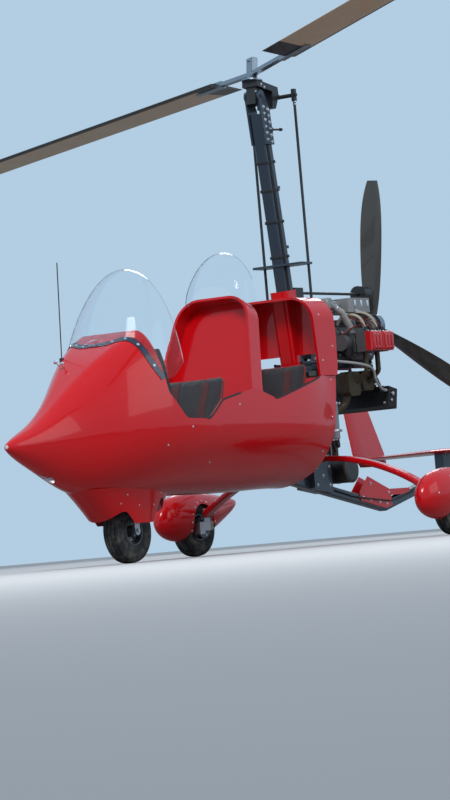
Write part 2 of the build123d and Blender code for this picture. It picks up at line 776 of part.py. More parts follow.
# columns: distance ahead, height, length, depth of each box
exhaust_boxes = [(-285, 920, 130, 140), (-440, 936, 126, 116)]
down_pipe = [(-262, 103, 870), (-255, 80, 808), (-190, 24, 740), (-180, 24, 470)]
with BuildPart() as exhaust:
    for side in (-1, 1):
        for (box_x, box_z, length, depth), x in zip(exhaust_boxes, cylinder_x):
            with BuildSketch(Plane.XZ.offset(-side * exhaust_y + exhaust_half)):
                with Locations((ahead(box_x), box_z)):
                    RectangleRounded(length, depth, 30)
            extrude(amount=-2 * exhaust_half)
            add(tube_run([(x, side * header_y, crank_z - head_size[2] / 2 + 10), (x, side * header_y, 985),
                          (x, side * (exhaust_y + 20), 925)], header_r, 34.0))
        with Locations((ahead(-365), side * exhaust_y, 930)):
            Cylinder(24, 80, rotation=(0, 90, 0))
        add(tube_run([(ahead(x), side * y, z) for x, y, z in down_pipe], down_pipe_r, 40.0))
    add(silencer.part, mode=Mode.SUBTRACT)
    add(cylinder_heads.part, mode=Mode.SUBTRACT)
save(exhaust, "exhaust")

# Hoses: two from the oil canister up to the crankcase and two from the radiator up to it
hose_r = 10.0
# columns: distance ahead, distance to port, height, along each hose
hose_paths = [
    [(55, 165, 606), (55, 165, 560), (-30, 122, 530), (-62, 92, 700), (-98, 92, 1000), (-206, 84, 1105)],
    [(25, 165, 606), (25, 165, 578), (-52, 135, 556), (-96, 92, 700), (-140, 92, 960), (-212, 76, 1082)],
    [(-602, 78, 880), (-598, 78, 960), (-582, 72, 1062)],
    [(-602, -78, 880), (-598, -78, 960), (-582, -72, 1062)],
]
with BuildPart() as hoses:
    for path in hose_paths:
        add(tube_run([(ahead(x), y, z) for x, y, z in path], hose_r, 26.0))
    add(canister.part, mode=Mode.SUBTRACT)
    add(engine_block.part, mode=Mode.SUBTRACT)
    add(radiator.part, mode=Mode.SUBTRACT)
save(hoses, "hoses")

# Tail: stabiliser with canted tip plates, a centre fin and the rudder
stab_z = 506.0
stab_half_span = 720.0
stab_thickness = 38.0
tip_thickness = 23.0
tip_cant = 16.0
tail_edge = 6.0
with BuildPart() as stabiliser:
    for side in (-1, 1):
        root = teardrop(Plane(origin=(0, 0, stab_z), x_dir=(-1, 0, 0), z_dir=(0, side, 0)),
                        -before_tail(710), -before_tail(70), stab_thickness, tail_edge)
        tip = teardrop(Plane(origin=(0, side * stab_half_span, stab_z), x_dir=(-1, 0, 0), z_dir=(0, side, 0)),
                       -before_tail(400), -before_tail(10), tip_thickness, tail_edge)
        loft([root, tip])
save(stabiliser, "stabiliser")

with BuildPart() as tip_plates:
    for side in (-1, 1):
        sections = []
        # columns: height, front edge and rear edge ahead of the tail end, thickness
        for z, front, rear, thickness in ((460, 340, 20, 16), (545, 385, 5, 22), (985, 285, 40, 12)):
            y = side * (stab_half_span + 9 + (z - stab_z) * tan(radians(tip_cant)))
            sections.append(teardrop(Plane(origin=(0, y, z), x_dir=(-1, 0, 0), z_dir=(0, 0, 1)),
                                     -before_tail(front), -before_tail(rear), thickness, 4))
        loft(sections, ruled=True)
    add(stabiliser.part, mode=Mode.SUBTRACT)
save(tip_plates, "tip_plates")

rudder_x = before_tail(230)
rudder_low_z = 600.0
rudder_high_z = 1330.0
rudder_mid_z = (rudder_low_z + rudder_high_z) / 2
hinge_gap = 7.0
rudder_nose = 14.0
pin_r = 4.0
lug_size = (40.0, 22.0, 10.0)
fin_plane = Plane(origin=(0, 0, 0), x_dir=(-1, 0, 0), z_dir=(0, 0, 1))
with BuildPart() as tail_fin:
    fin_rear = -rudder_x - hinge_gap - rudder_nose
    loft([
        teardrop(fin_plane.offset(stab_z), -before_tail(430), fin_rear, 34, 27),
        teardrop(fin_plane.offset(rudder_high_z + 14), -before_tail(290), fin_rear, 24, 19),
    ])
    with Locations((rudder_x + 8, 0, rudder_low_z - 9), (rudder_x + 8, 0, rudder_high_z + 9)):
        Box(*lug_size)
    with Locations((rudder_x, 0, rudder_mid_z)):
        Cylinder(pin_r, rudder_high_z - rudder_low_z + 20)
    add(stabiliser.part, mode=Mode.SUBTRACT)
save(tail_fin, "tail_fin")

with BuildPart() as rudder:
    loft([
        teardrop(fin_plane.offset(rudder_low_z), -rudder_x - rudder_nose, -tail_x, 28, 4),
        teardrop(fin_plane.offset(rudder_high_z), -rudder_x - rudder_nose, -tail_x, 20, 4),
    ])
    with Locations((rudder_x, 0, rudder_mid_z)):
        Cylinder(pin_r + running_gap, rudder_high_z - rudder_low_z + 20, mode=Mode.SUBTRACT)
save(rudder, "rudder")

saddle_front = before_tail(600)
saddle_rear = before_tail(215)
with BuildPart() as tail_saddle:
    with BuildSketch(Plane.XZ):
        with BuildLine():
            Polyline((saddle_front, 345), (saddle_front, stab_z), (saddle_rear, stab_z), (saddle_rear, 440), close=True)
        make_face()
    extrude(amount=30, both=True)
    add(keel_clearance, mode=Mode.SUBTRACT)
    add(stabiliser.part, mode=Mode.SUBTRACT)
save(tail_saddle, "tail_saddle")

# Rotor head: cheeks on the mast hold the pivot of the tilting bearing block
head_pivot = Vector(ahead(318), 0, 2575)
rotor_tilt = 8.8
tilt_axis = Vector(-sin(radians(rotor_tilt)), 0, cos(radians(rotor_tilt)))
head_plane = Plane(origin=head_pivot, x_dir=(cos(radians(rotor_tilt)), 0, sin(radians(rotor_tilt))), z_dir=tilt_axis)
cheek_thickness = 12.0
cheek_top_r = 34.0
cheek_low_z = 2300.0
with BuildPart() as head_cheeks:
    for side in (-1, 1):
        with BuildSketch(Plane.XZ.offset(-side * (mast_width + cheek_thickness) / 2 - cheek_thickness / 2)):
            with BuildLine():
                Polyline((mast_point(cheek_low_z).X - 44, cheek_low_z), (mast_point(2500).X - 47, 2500),
                         (head_pivot.X - 30, head_pivot.Z + 16), (head_pivot.X + 30, head_pivot.Z + 16),
                         (mast_point(cheek_low_z).X + 46, cheek_low_z), close=True)
            make_face()
            with Locations((head_pivot.X, head_pivot.Z)):
                Circle(cheek_top_r)
        extrude(amount=cheek_thickness)
    with Locations(head_pivot):
        Cylinder(axle_r, mast_width + 2 * cheek_thickness + 16, rotation=(90, 0, 0))
save(head_cheeks, "head_cheeks")

# side view of the bearing block in its own tilting frame, with a tongue between the cheeks
block_profile = [(44, 48), (44, 84), (-165, 84), (-178, 40), (-150, -45), (-112, -50), (-112, 48)]
block_half_width = 52.0
block_top = 84.0
tongue = (66.0, 62.0, 100.0)
spindle_ahead = 20.0
shaft_r = 12.0
arm_reach = 190.0
arm_back = arm_reach * cos(radians(rotor_tilt))
arm_rise = arm_reach * sin(radians(rotor_tilt))
arm_r = 12.0
arm_end_y = 132.0
rod_y = 148.0
rod_pin_r = 6.0
with BuildPart(head_plane) as head_block:
    Box(*tongue)
    with BuildSketch(Plane(origin=head_pivot, x_dir=head_plane.x_dir, z_dir=(0, -1, 0))):
        with BuildLine():
            Polyline(*block_profile, close=True)
        make_face()
    extrude(amount=block_half_width, both=True)
    with Locations((-arm_back + 18, 0, arm_rise)):
        Box(44, 2 * block_half_width, 2 * arm_r)
    with Locations((-arm_back, 0, arm_rise)):
        Cylinder(arm_r, 2 * arm_end_y, rotation=(90, 0, 0))
        Cylinder(rod_pin_r, 2 * (rod_y + 17), rotation=(90, 0, 0))
    for side in (-1, 1):
        with Locations((-arm_back, side * (rod_y + 15), arm_rise)):
            Cylinder(rod_pin_r + 4, 5, rotation=(90, 0, 0))
    Cylinder(axle_r + running_gap, 200, rotation=(90, 0, 0), mode=Mode.SUBTRACT)
    with Locations((spindle_ahead, 0, block_top)):
        Cylinder(shaft_r + running_gap, 76, mode=Mode.SUBTRACT)
save(head_block, "head_block")

# Rotor: a toothed ring and tower on the spindle, a teetering hub bar and two blades
rotor_turn = 62.5
bolt_height = 205.0
bolt_r = 8.0
ring_r = 60.0
ring_thickness = 7.7
base_thickness = 6.0
cheek_gap = 18.0
tower_cheek = (44.0, 6.0, 124.0)
bar_drop = 78.0
bar_thickness = 22.0
bar_width = 2 * cheek_gap - 2.0
bolt_place = head_plane.from_local_coords((spindle_ahead, 0, bolt_height))
blade_line = head_plane.x_dir * cos(radians(rotor_turn)) + head_plane.y_dir * sin(radians(rotor_turn))
rotor_plane = Plane(origin=bolt_place, x_dir=blade_line, z_dir=tilt_axis)
ring_low = block_top + seat_gap - bolt_height
with BuildPart(rotor_plane) as rotor_tower:
    with Locations((0, 0, ring_low)):
        Cylinder(ring_r, ring_thickness, align=stem_base)
        Cylinder(shaft_r, 36, align=(Align.CENTER, Align.CENTER, Align.MAX))
    with Locations((0, 0, ring_low + ring_thickness)):
        Box(70, 2 * (cheek_gap + tower_cheek[1]), base_thickness, align=stem_base)
    for side in (-1, 1):
        with Locations((0, side * (cheek_gap + tower_cheek[1] / 2), ring_low + ring_thickness)):
            Box(*tower_cheek, align=stem_base)
    Cylinder(bolt_r, 2 * (cheek_gap + tower_cheek[1]) + 18, rotation=(90, 0, 0))
save(rotor_tower, "rotor_tower")

rotor_r = 4265.0
cone = 3.1
blade_root = 400.0
blade_chord = 220.0
blade_front_share = 0.28
rotor_blade_thickness = 26.0
strap_thickness = 6.0
strap_level = rotor_blade_thickness / 2 + seat_gap + strap_thickness / 2
strap_start = 340.0
strap_length = 300.0
bar_end = (Align.MIN, Align.CENTER, Align.CENTER)
with BuildPart(rotor_plane) as hub_bar:
    with Locations((0, 0, -bar_drop)):
        Box(64, bar_width, bar_drop + 16, align=stem_base)
    for turn in (0, 180):
        with Locations(Location((0, 0, -bar_drop), (0, 0, turn))):
            with Locations(Location((0, 0, 0), (0, -cone, 0))):
                Box(blade_root, bar_width, bar_thickness, align=bar_end)
                with Locations((strap_start, 0, 0)):
                    Box(blade_root - strap_start, bar_width, 2 * strap_level, align=bar_end)
                for level in (-strap_level, strap_level):
                    with Locations((strap_start, 0, level)):
                        Box(strap_length, bar_width, strap_thickness, align=bar_end)
    Cylinder(bolt_r + running_gap, 100, rotation=(90, 0, 0), mode=Mode.SUBTRACT)
save(hub_bar, "hub_bar")

with BuildPart() as blade_shape:
    plane = Plane(origin=(blade_root + seat_gap, 0, 0), x_dir=(0, -1, 0), z_dir=(1, 0, 0))
    extrude(teardrop(plane, -blade_front_share * blade_chord, (1 - blade_front_share) * blade_chord,
                     rotor_blade_thickness, 2), amount=rotor_r - blade_root)

with BuildPart(rotor_plane) as rotor_blades:
    for turn in (0, 180):
        with Locations(Location((0, 0, -bar_drop), (0, 0, turn))):
            with Locations(Location((0, 0, 0), (0, -cone, 0))):
                add(blade_shape.part)
save(rotor_blades, "rotor_blades")

# Drive that spins the rotor up before take-off: a clutch drum, a long shaft and a tube up the mast
drive_aft = 70.0
drive_low_z = 1470.0
drive_high_z = 2420.0
drive_r = 11.0
drive_clamps = (1720.0, 2060.0, 2370.0)
corner_box = (92.0, 50.0, 60.0)
corner_box_x = ahead(58)
drive_y = 12.0
drive_z = 1455.0
long_shaft_r = 8.5
drum_front_x = ahead(-620)
drum_length = 76.0
drum_r = 48.0
with BuildPart() as rotor_drive:
    add(tube_run([tuple(mast_point(drive_low_z, aft=drive_aft)), tuple(mast_point(drive_high_z, aft=drive_aft))],
                 drive_r))
    for z in drive_clamps:
        with Locations(mast_point(z, aft=mast_depth / 2 + 20)):
            Box(52, 34, 16)
    with Locations((corner_box_x, 0, drive_z)):
        Box(*corner_box)
    with Locations(((corner_box_x + drum_front_x) / 2, drive_y, drive_z)):
        Cylinder(long_shaft_r, corner_box_x - drum_front_x, rotation=(0, 90, 0))
    with Locations((drum_front_x - drum_length / 2, drive_y, drive_z)):
        Cylinder(drum_r, drum_length, rotation=(0, 90, 0))
    with Locations((drum_front_x - drum_length / 2, 0, prop_z + gear_half_width)):
        Box(50, 50, 160)
    add(mast_clearance, mode=Mode.SUBTRACT)
    add(engine_block.part, mode=Mode.SUBTRACT)
save(rotor_drive, "rotor_drive")

# Push rods that tilt the head, with an eye at the top; sleeves on the cowl and a bracket on the mast guide them
rod_x = head_pivot.X - arm_reach
rod_top_z = head_pivot.Z
rod_r = 8.0
rod_low_z = 1330.0
rod_eye = (26.0, 20.0, 70.0)
rod_eye_r = 8.5
guide_gap = 0.3
for side, word in ((1, "left"), (-1, "right")):
    with BuildPart() as push_rod:
        with Locations((rod_x, side * rod_y, rod_low_z)):
            Cylinder(rod_r, rod_top_z - rod_eye[2] / 2 - rod_low_z, align=stem_base)
        with Locations((rod_x, side * rod_y, rod_top_z)):
            Box(*rod_eye)
            Cylinder(rod_eye_r, 2 * rod_eye[1], rotation=(90, 0, 0), mode=Mode.SUBTRACT)
    save(push_rod, f"push_rod_{word}")

sleeve_low_z = 1290.0
sleeve_high_z = 1400.0
sleeve_floor = 10.0
sleeve_r = 13.0
bracket_z = 1610.0
bracket_thickness = 12.0
bracket_rear = rod_x - 20
bracket_front = mast_point(bracket_z).X + mast_depth / 2 + 8
with BuildPart() as rod_guides:
    for side in (-1, 1):
        with Locations((rod_x, side * rod_y, sleeve_low_z)):
            Cylinder(sleeve_r, sleeve_high_z - sleeve_low_z, align=stem_base)
        with Locations(((rod_x + pod_rear_x) / 2 + 4, side * rod_y, sleeve_low_z + 20)):
            Box(pod_rear_x - rod_x - 8, 14, 60, align=stem_base)
    with BuildSketch(Plane.XY.offset(bracket_z - bracket_thickness / 2)):
        with Locations(((bracket_front + bracket_rear) / 2, 0)):
            RectangleRounded(bracket_front - bracket_rear, 2 * rod_y + 44, 18)
    extrude(amount=bracket_thickness)
    for side in (-1, 1):
        with Locations((rod_x, side * rod_y, sleeve_low_z + sleeve_floor)):
            Cylinder(rod_r + guide_gap, rod_top_z - sleeve_low_z, align=stem_base, mode=Mode.SUBTRACT)
    add(mast_clearance, mode=Mode.SUBTRACT)
    add(rear_cowl.part, mode=Mode.SUBTRACT)
    add(tube_run([tuple(mast_point(drive_low_z, aft=drive_aft)), tuple(mast_point(drive_high_z, aft=drive_aft))],
                 drive_r + seat_gap), mode=Mode.SUBTRACT)
save(rod_guides, "rod_guides")

# Seats: a cushion and a leaning back for each of the two places
seat_half_width = 205.0
seat_z = floor_z + 10
cushion = 70.0
seat_corner = 18.0
# columns: name, front edge of the cushion, place of the back's foot, lean of the back, height of the back
for name, front, foot, lean, height in (("front_seat", 1710, 1295, hoop_tilt, 560), ("rear_seat", 860, 425, 14, 620)):
    with BuildPart() as seat:
        with BuildSketch(Plane.XZ):
            with BuildLine():
                top = (foot - height * tan(radians(lean)), seat_z + height)
                Polyline((ahead(front), seat_z), (ahead(front), seat_z + cushion),
                         (ahead(foot + cushion), seat_z + cushion), (ahead(top[0] + cushion), top[1]),
                         (ahead(top[0]), top[1]), (ahead(foot), seat_z), close=True)
            make_face()
        extrude(amount=seat_half_width, both=True)
        fillet(seat.edges().filter_by(GeomType.LINE), seat_corner)
        add(pod_shell.part, mode=Mode.SUBTRACT)
    save(seat, name)

# Control sticks in front of the two seats
stick_r = 11.0
grip_r = 16.0
grip_length = 100.0
stick_rise = 300.0
stick_lean = 45.0
with BuildPart() as control_sticks:
    for foot in (1790.0, 925.0):
        low = Vector(ahead(foot), 0, floor_z)
        high = Vector(ahead(foot - stick_lean), 0, floor_z + stick_rise)
        add(tube_run([tuple(low), tuple(high)], stick_r))
        with Locations(low):
            Cylinder(3 * stick_r, 24, align=stem_base)
        with Locations(high):
            Cylinder(grip_r, grip_length)
    add(pod_shell.part, mode=Mode.SUBTRACT)
save(control_sticks, "control_sticks")

# Windscreens: thin blown domes, open towards the seats
screen_thickness = 4.0


def dome(rows, skin):
    """Loft of upright arches; each row is the distance ahead, foot z, half width and height."""
    with BuildPart() as shape:
        arches = []
        for station, foot_z, half_width, height in rows:
            with BuildSketch(Plane.YZ.offset(ahead(station))) as arch:
                with BuildLine():
                    EllipticalCenterArc((0, foot_z), half_width - skin, height - skin, 0, arc_size=180)
                    Line((-half_width + skin, foot_z), (half_width - skin, foot_z))
                make_face()
            arches.append(arch.sketch)
        loft(arches)
    return shape.part


def screen_shell(rows):
    """A dome hollowed out, with its rear end open."""
    with BuildPart() as shell:
        add(dome(rows, 0))
        add(dome(rows, screen_thickness), mode=Mode.SUBTRACT)
        with Locations((ahead(rows[-1][0]), 0, rows[-1][1])):
            Box(2 * screen_thickness, 900, 1600, mode=Mode.SUBTRACT)
        split(bisect_by=Plane.YZ.offset(ahead(rows[0][0]) - 2 * screen_thickness), keep=Keep.BOTTOM)
    return shell.part


front_dome = [(2090, 1000, 120, 175), (2000, 900, 285, 440), (1880, 870, 330, 640), (1740, 860, 335, 700)]
rear_dome = [(945, 1380, 110, 70), (915, 1380, 190, 170), (870, 1380, 210, 250), (800, 1380, 215, 292)]
with BuildPart() as front_screen:
    add(screen_shell(front_dome))
    add(hull_outer.part, mode=Mode.SUBTRACT)
save(front_screen, "front_screen")
with BuildPart() as rear_screen:
    add(screen_shell(rear_dome))
    add(hoop_block.part, mode=Mode.SUBTRACT)
save(rear_screen, "rear_screen")

# Instrument panel between the pod's walls, and the radio mast on the nose
panel_front_x = ahead(1940)
panel_rear_x = ahead(1900)
panel_low_z = 750.0
panel_high_z = 1110.0
with BuildPart() as instrument_panel:
    with Locations(((panel_front_x + panel_rear_x) / 2, 0, (panel_low_z + panel_high_z) / 2)):
        Box(panel_front_x - panel_rear_x, 800, panel_high_z - panel_low_z)
    add(hull_outer.part, mode=Mode.INTERSECT)
    add(pod_shell.part, mode=Mode.SUBTRACT)
save(instrument_panel, "instrument_panel")

antenna_r = 3.0
with BuildPart() as antenna:
    add(tube_run([(ahead(2185), -150, 1030), (ahead(2152), -150, 1610)], antenna_r))
    with Locations((ahead(2182), -150, 1085)):
        Cylinder(4 * antenna_r, 40)
    add(hull_outer.part, mode=Mode.SUBTRACT)
save(antenna, "antenna")
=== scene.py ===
from math import cos, exp, pi, radians, sin, tan

import bmesh
import bpy
from mathutils import Matrix, Vector
from mathutils.bvhtree import BVHTree


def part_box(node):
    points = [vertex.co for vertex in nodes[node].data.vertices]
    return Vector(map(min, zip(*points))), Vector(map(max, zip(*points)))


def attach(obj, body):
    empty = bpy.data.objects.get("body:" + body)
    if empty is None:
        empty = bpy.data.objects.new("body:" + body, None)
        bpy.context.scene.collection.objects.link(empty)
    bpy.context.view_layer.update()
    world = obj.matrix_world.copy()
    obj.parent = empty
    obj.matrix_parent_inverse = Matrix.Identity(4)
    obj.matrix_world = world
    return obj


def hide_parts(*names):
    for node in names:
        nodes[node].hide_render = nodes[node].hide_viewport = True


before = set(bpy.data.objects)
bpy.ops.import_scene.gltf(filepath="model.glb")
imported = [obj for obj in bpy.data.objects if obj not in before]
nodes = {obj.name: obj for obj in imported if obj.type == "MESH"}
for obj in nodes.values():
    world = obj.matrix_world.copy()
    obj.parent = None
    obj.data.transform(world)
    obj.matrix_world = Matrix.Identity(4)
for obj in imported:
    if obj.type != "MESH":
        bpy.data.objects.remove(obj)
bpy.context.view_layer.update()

scene = bpy.context.scene

# The camera stands on the apron ahead of the port side with a long lens, close to the ground,
# and leans a few degrees, so that the aircraft banks in the frame as it does in the photograph.
main_wheel_low, main_wheel_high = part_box("main_tyre_left")
main_axle_x = (main_wheel_low.x + main_wheel_high.x) / 2


def ahead(distance):
    """X of a place that lies this far ahead of the main axle."""
    return main_axle_x + distance


camera_place = Vector((ahead(17.46), 10.89, 0.06))
camera_target = Vector((ahead(0.682), -0.134, 0.862))
camera_roll = radians(4.92)
camera_data = bpy.data.cameras.new("camera")
camera_data.lens = 161.5
camera_data.clip_end = 200.0
camera = bpy.data.objects.new("camera", camera_data)
camera.location = camera_place
aim = (camera_target - camera_place).to_track_quat("-Z", "Y")
camera.rotation_euler = (aim.to_matrix() @ Matrix.Rotation(-camera_roll, 3, "Z")).to_euler()
scene.collection.objects.link(camera)
scene.camera = camera

# A plain pale studio: one wide floor, a soft pale blue world, a large key lamp ahead to port, a fill lamp to
# port and a lamp behind. Floor and sky look paler to the camera than they are as lights, so the red stays
# deep.
def add_node(tree, kind, values=None, **settings):
    """A node with its settings, and default values for its sockets by name or number."""
    node = tree.nodes.new(kind)
    for key, value in settings.items():
        setattr(node, key, value)
    for key, value in (values or {}).items():
        node.inputs[key].default_value = value
    return node


def join(tree, *pairs):
    """Link pairs of output and input sockets."""
    for output, target in pairs:
        tree.links.new(output, target)


floor_half = 40.0
floor_mesh = bmesh.new()
bmesh.ops.create_grid(floor_mesh, x_segments=1, y_segments=1, size=floor_half)
floor_data = bpy.data.meshes.new("floor")
floor_mesh.to_mesh(floor_data)
floor_mesh.free()
floor = bpy.data.objects.new("floor", floor_data)
scene.collection.objects.link(floor)
floor_material = bpy.data.materials.new("pale_floor")
floor_material.use_nodes = True
floor_tree = floor_material.node_tree
floor_shader = floor_tree.nodes["Principled BSDF"]
floor_shader.inputs["Roughness"].default_value = 0.9
floor_seen = add_node(floor_tree, "ShaderNodeLightPath")
floor_tone = add_node(floor_tree, "ShaderNodeMix", {6: (0.26, 0.265, 0.275, 1), 7: (0.60, 0.61, 0.63, 1)},
                      data_type="RGBA")
join(floor_tree, (floor_seen.outputs["Is Camera Ray"], floor_tone.inputs[0]),
     (floor_tone.outputs[2], floor_shader.inputs["Base Color"]))
floor_data.materials.append(floor_material)

world = bpy.data.worlds.new("studio")
world.use_nodes = True
sky = world.node_tree
sky_seen = add_node(sky, "ShaderNodeLightPath")
sky_shown = add_node(sky, "ShaderNodeMath", operation="MAXIMUM")
sky_shown_too = add_node(sky, "ShaderNodeMath", operation="MAXIMUM")
sky_tone = add_node(sky, "ShaderNodeMix", {6: (0.40, 0.45, 0.50, 1), 7: (0.45, 0.61, 0.76, 1)},
                    data_type="RGBA")
join(sky, (sky_seen.outputs["Is Camera Ray"], sky_shown.inputs[0]),
     (sky_seen.outputs["Is Transmission Ray"], sky_shown.inputs[1]),
     (sky_shown.outputs[0], sky_shown_too.inputs[0]),
     (sky_seen.outputs["Is Glossy Ray"], sky_shown_too.inputs[1]),
     (sky_shown_too.outputs[0], sky_tone.inputs[0]),
     (sky_tone.outputs[2], sky.nodes["Background"].inputs["Color"]))
scene.world = world

# columns: lamp, place, size, power
for lamp_name, place, size, power in (("key_lamp", (9.0, 5.0, 11.0), 4.0, 1150.0),
                                      ("fill_lamp", (-4.0, 12.0, 6.0), 7.0, 170.0),
                                      ("back_lamp", (-12.0, -6.0, 9.0), 5.0, 380.0)):
    lamp_data = bpy.data.lights.new(lamp_name, "AREA")
    lamp_data.size = size
    lamp_data.energy = power
    lamp = bpy.data.objects.new(lamp_name, lamp_data)
    lamp.location = place
    lamp.rotation_euler = (Vector((0, 0, 1)) - Vector(place)).to_track_quat("-Z", "Y").to_euler()
    scene.collection.objects.link(lamp)

scene.view_settings.view_transform = "Standard"

# The pod, its chin, the cowl, the hoop, the spats and the tail are moulded composite in gloss red, polished
# under a clear coat, and the leg is painted the same red. The finish is one that every hard surface here
# shares: faint mottling, dust that is heaviest low down, and a fine uneven surface.
finish_group = bpy.data.node_groups.new("worn_finish", "ShaderNodeTree")
for socket, kind, value in (("Color", "NodeSocketColor", (0.5, 0.5, 0.5, 1)),
                            ("Roughness", "NodeSocketFloat", 0.4),
                            ("Mottle", "NodeSocketFloat", 0.1), ("Dust", "NodeSocketFloat", 0.1),
                            ("Scale", "NodeSocketFloat", 12.0), ("Relief", "NodeSocketFloat", 0.1)):
    finish_group.interface.new_socket(socket, in_out="INPUT", socket_type=kind).default_value = value
for socket, kind in (("Color", "NodeSocketColor"), ("Roughness", "NodeSocketFloat"),
                     ("Normal", "NodeSocketVector")):
    finish_group.interface.new_socket(socket, in_out="OUTPUT", socket_type=kind)
group_in = add_node(finish_group, "NodeGroupInput")
group_out = add_node(finish_group, "NodeGroupOutput")
place_in = add_node(finish_group, "ShaderNodeTexCoord")
broad = add_node(finish_group, "ShaderNodeTexNoise", {"Detail": 5.0, "Roughness": 0.62})
fine = add_node(finish_group, "ShaderNodeTexNoise", {"Scale": 420.0, "Detail": 2.0})
axes = add_node(finish_group, "ShaderNodeSeparateXYZ")
low_down = add_node(finish_group, "ShaderNodeMapRange",
                    {"From Min": 0.75, "From Max": 0.1, "To Min": 0.15, "To Max": 1.0})
speckle = add_node(finish_group, "ShaderNodeMapRange", {"From Min": 0.45, "From Max": 0.75})
dust_mask = add_node(finish_group, "ShaderNodeMath", operation="MULTIPLY")
dust_amount = add_node(finish_group, "ShaderNodeMath", operation="MULTIPLY")
dark = add_node(finish_group, "ShaderNodeMix", {7: (0.01, 0.01, 0.012, 1)}, data_type="RGBA")
mottle_mask = add_node(finish_group, "ShaderNodeMath", operation="MULTIPLY")
dusty = add_node(finish_group, "ShaderNodeMix", {7: (0.42, 0.38, 0.33, 1)}, data_type="RGBA")
rougher = add_node(finish_group, "ShaderNodeMath", operation="MULTIPLY_ADD")
rough_mask = add_node(finish_group, "ShaderNodeMath", {1: 0.5}, operation="MULTIPLY")
bump = add_node(finish_group, "ShaderNodeBump", {"Distance": 0.0006})
join(finish_group,
     (place_in.outputs["Object"], broad.inputs["Vector"]), (group_in.outputs["Scale"], broad.inputs["Scale"]),
     (place_in.outputs["Object"], fine.inputs["Vector"]), (place_in.outputs["Object"], axes.inputs[0]),
     (axes.outputs["Z"], low_down.inputs["Value"]), (broad.outputs["Fac"], speckle.inputs["Value"]),
     (speckle.outputs[0], dust_mask.inputs[0]), (low_down.outputs[0], dust_mask.inputs[1]),
     (dust_mask.outputs[0], dust_amount.inputs[0]), (group_in.outputs["Dust"], dust_amount.inputs[1]),
     (broad.outputs["Fac"], mottle_mask.inputs[0]), (group_in.outputs["Mottle"], mottle_mask.inputs[1]),
     (mottle_mask.outputs[0], dark.inputs[0]), (group_in.outputs["Color"], dark.inputs[6]),
     (dark.outputs[2], dusty.inputs[6]), (dust_amount.outputs[0], dusty.inputs[0]),
     (dusty.outputs[2], group_out.inputs["Color"]),
     (broad.outputs["Fac"], rough_mask.inputs[0]), (rough_mask.outputs[0], rougher.inputs[0]),
     (group_in.outputs["Roughness"], rougher.inputs[1]), (group_in.outputs["Roughness"], rougher.inputs[2]),
     (rougher.outputs[0], group_out.inputs["Roughness"]),
     (fine.outputs["Fac"], bump.inputs["Height"]), (group_in.outputs["Relief"], bump.inputs["Strength"]),
     (bump.outputs["Normal"], group_out.inputs["Normal"]))


def hard_finish(name, colour, roughness, metallic=0.0, coat=0.0, mottle=0.12, dust=0.1, scale=12.0,
                relief=0.05):
    """A paint, metal, plastic or rubber with the shared mottling, dust and relief."""
    material = bpy.data.materials.new(name)
    material.use_nodes = True
    tree = material.node_tree
    shader = tree.nodes["Principled BSDF"]
    shader.inputs["Metallic"].default_value = metallic
    shader.inputs["Coat Weight"].default_value = coat
    shader.inputs["Coat Roughness"].default_value = 0.04
    worn = add_node(tree, "ShaderNodeGroup", node_tree=finish_group)
    for socket, value in (("Color", (*colour, 1)), ("Roughness", roughness), ("Mottle", mottle),
                          ("Dust", dust), ("Scale", scale), ("Relief", relief)):
        worn.inputs[socket].default_value = value
    join(tree, (worn.outputs["Color"], shader.inputs["Base Color"]),
         (worn.outputs["Roughness"], shader.inputs["Roughness"]),
         (worn.outputs["Normal"], shader.inputs["Normal"]))
    return material


def dress(material, *names):
    """Give CAD nodes this material."""
    for name in names:
        data = nodes[name].data
        data.materials.clear()
        data.materials.append(material)


red_gloss = hard_finish("red_gloss", (0.64, 0.0005, 0.004), 0.20, coat=0.55, mottle=0.12, dust=0.02,
                        scale=3.0, relief=0.02)
red_gloss.node_tree.nodes["Principled BSDF"].inputs["Specular IOR Level"].default_value = 0.20
dress(red_gloss, "pod_shell", "chin_fairing", "rear_cowl", "seat_hoop", "spats", "stabiliser", "tip_plates",
      "tail_fin", "rudder", "gear_bow", "keel_gusset")

# The windscreens are blown acrylic, 4 mm thick and clear, with a faint blue cast. Round the foot of the
# front one runs a dark blue trim strip, held on the pod by bright dome screws. It is laid along the line
# where the screen meets the pod and follows the pod's skin.
acrylic = bpy.data.materials.new("clear_acrylic")
acrylic.use_nodes = True
acrylic_shader = acrylic.node_tree.nodes["Principled BSDF"]
acrylic_shader.inputs["Base Color"].default_value = (0.94, 0.975, 1.0, 1)
acrylic_shader.inputs["Roughness"].default_value = 0.02
acrylic_shader.inputs["IOR"].default_value = 1.20
acrylic_shader.inputs["Transmission Weight"].default_value = 1.0
dress(acrylic, "front_screen", "rear_screen")


def skin_tree(*names):
    """The surfaces of CAD nodes or finished pieces, to set small pieces on."""
    points, faces = [], []
    for name in names:
        data = (nodes.get(name) or bpy.data.objects[name]).data
        faces += [[index + len(points) for index in face.vertices] for face in data.polygons]
        points += [vert.co.copy() for vert in data.vertices]
    return BVHTree.FromPolygons(points, faces)


def finish_piece(name, mesh, body, material, crease=35.0):
    """Turn a bmesh into a finished object, smooth up to the crease angle, that rides on a body."""
    for edge in mesh.edges:
        edge.smooth = edge.calc_face_angle(pi) < radians(crease)
    for face in mesh.faces:
        face.smooth = True
    data = bpy.data.meshes.new(name)
    mesh.to_mesh(data)
    mesh.free()
    data.materials.append(material)
    piece = bpy.data.objects.new(name, data)
    scene.collection.objects.link(piece)
    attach(piece, body)
    return piece


def standing(place, direction):
    """Matrix that stands a shape made along +Z on a place, pointing along a direction."""
    matrix = Vector(direction).to_track_quat("Z", "Y").to_matrix().to_4x4()
    matrix.translation = Vector(place)
    return matrix


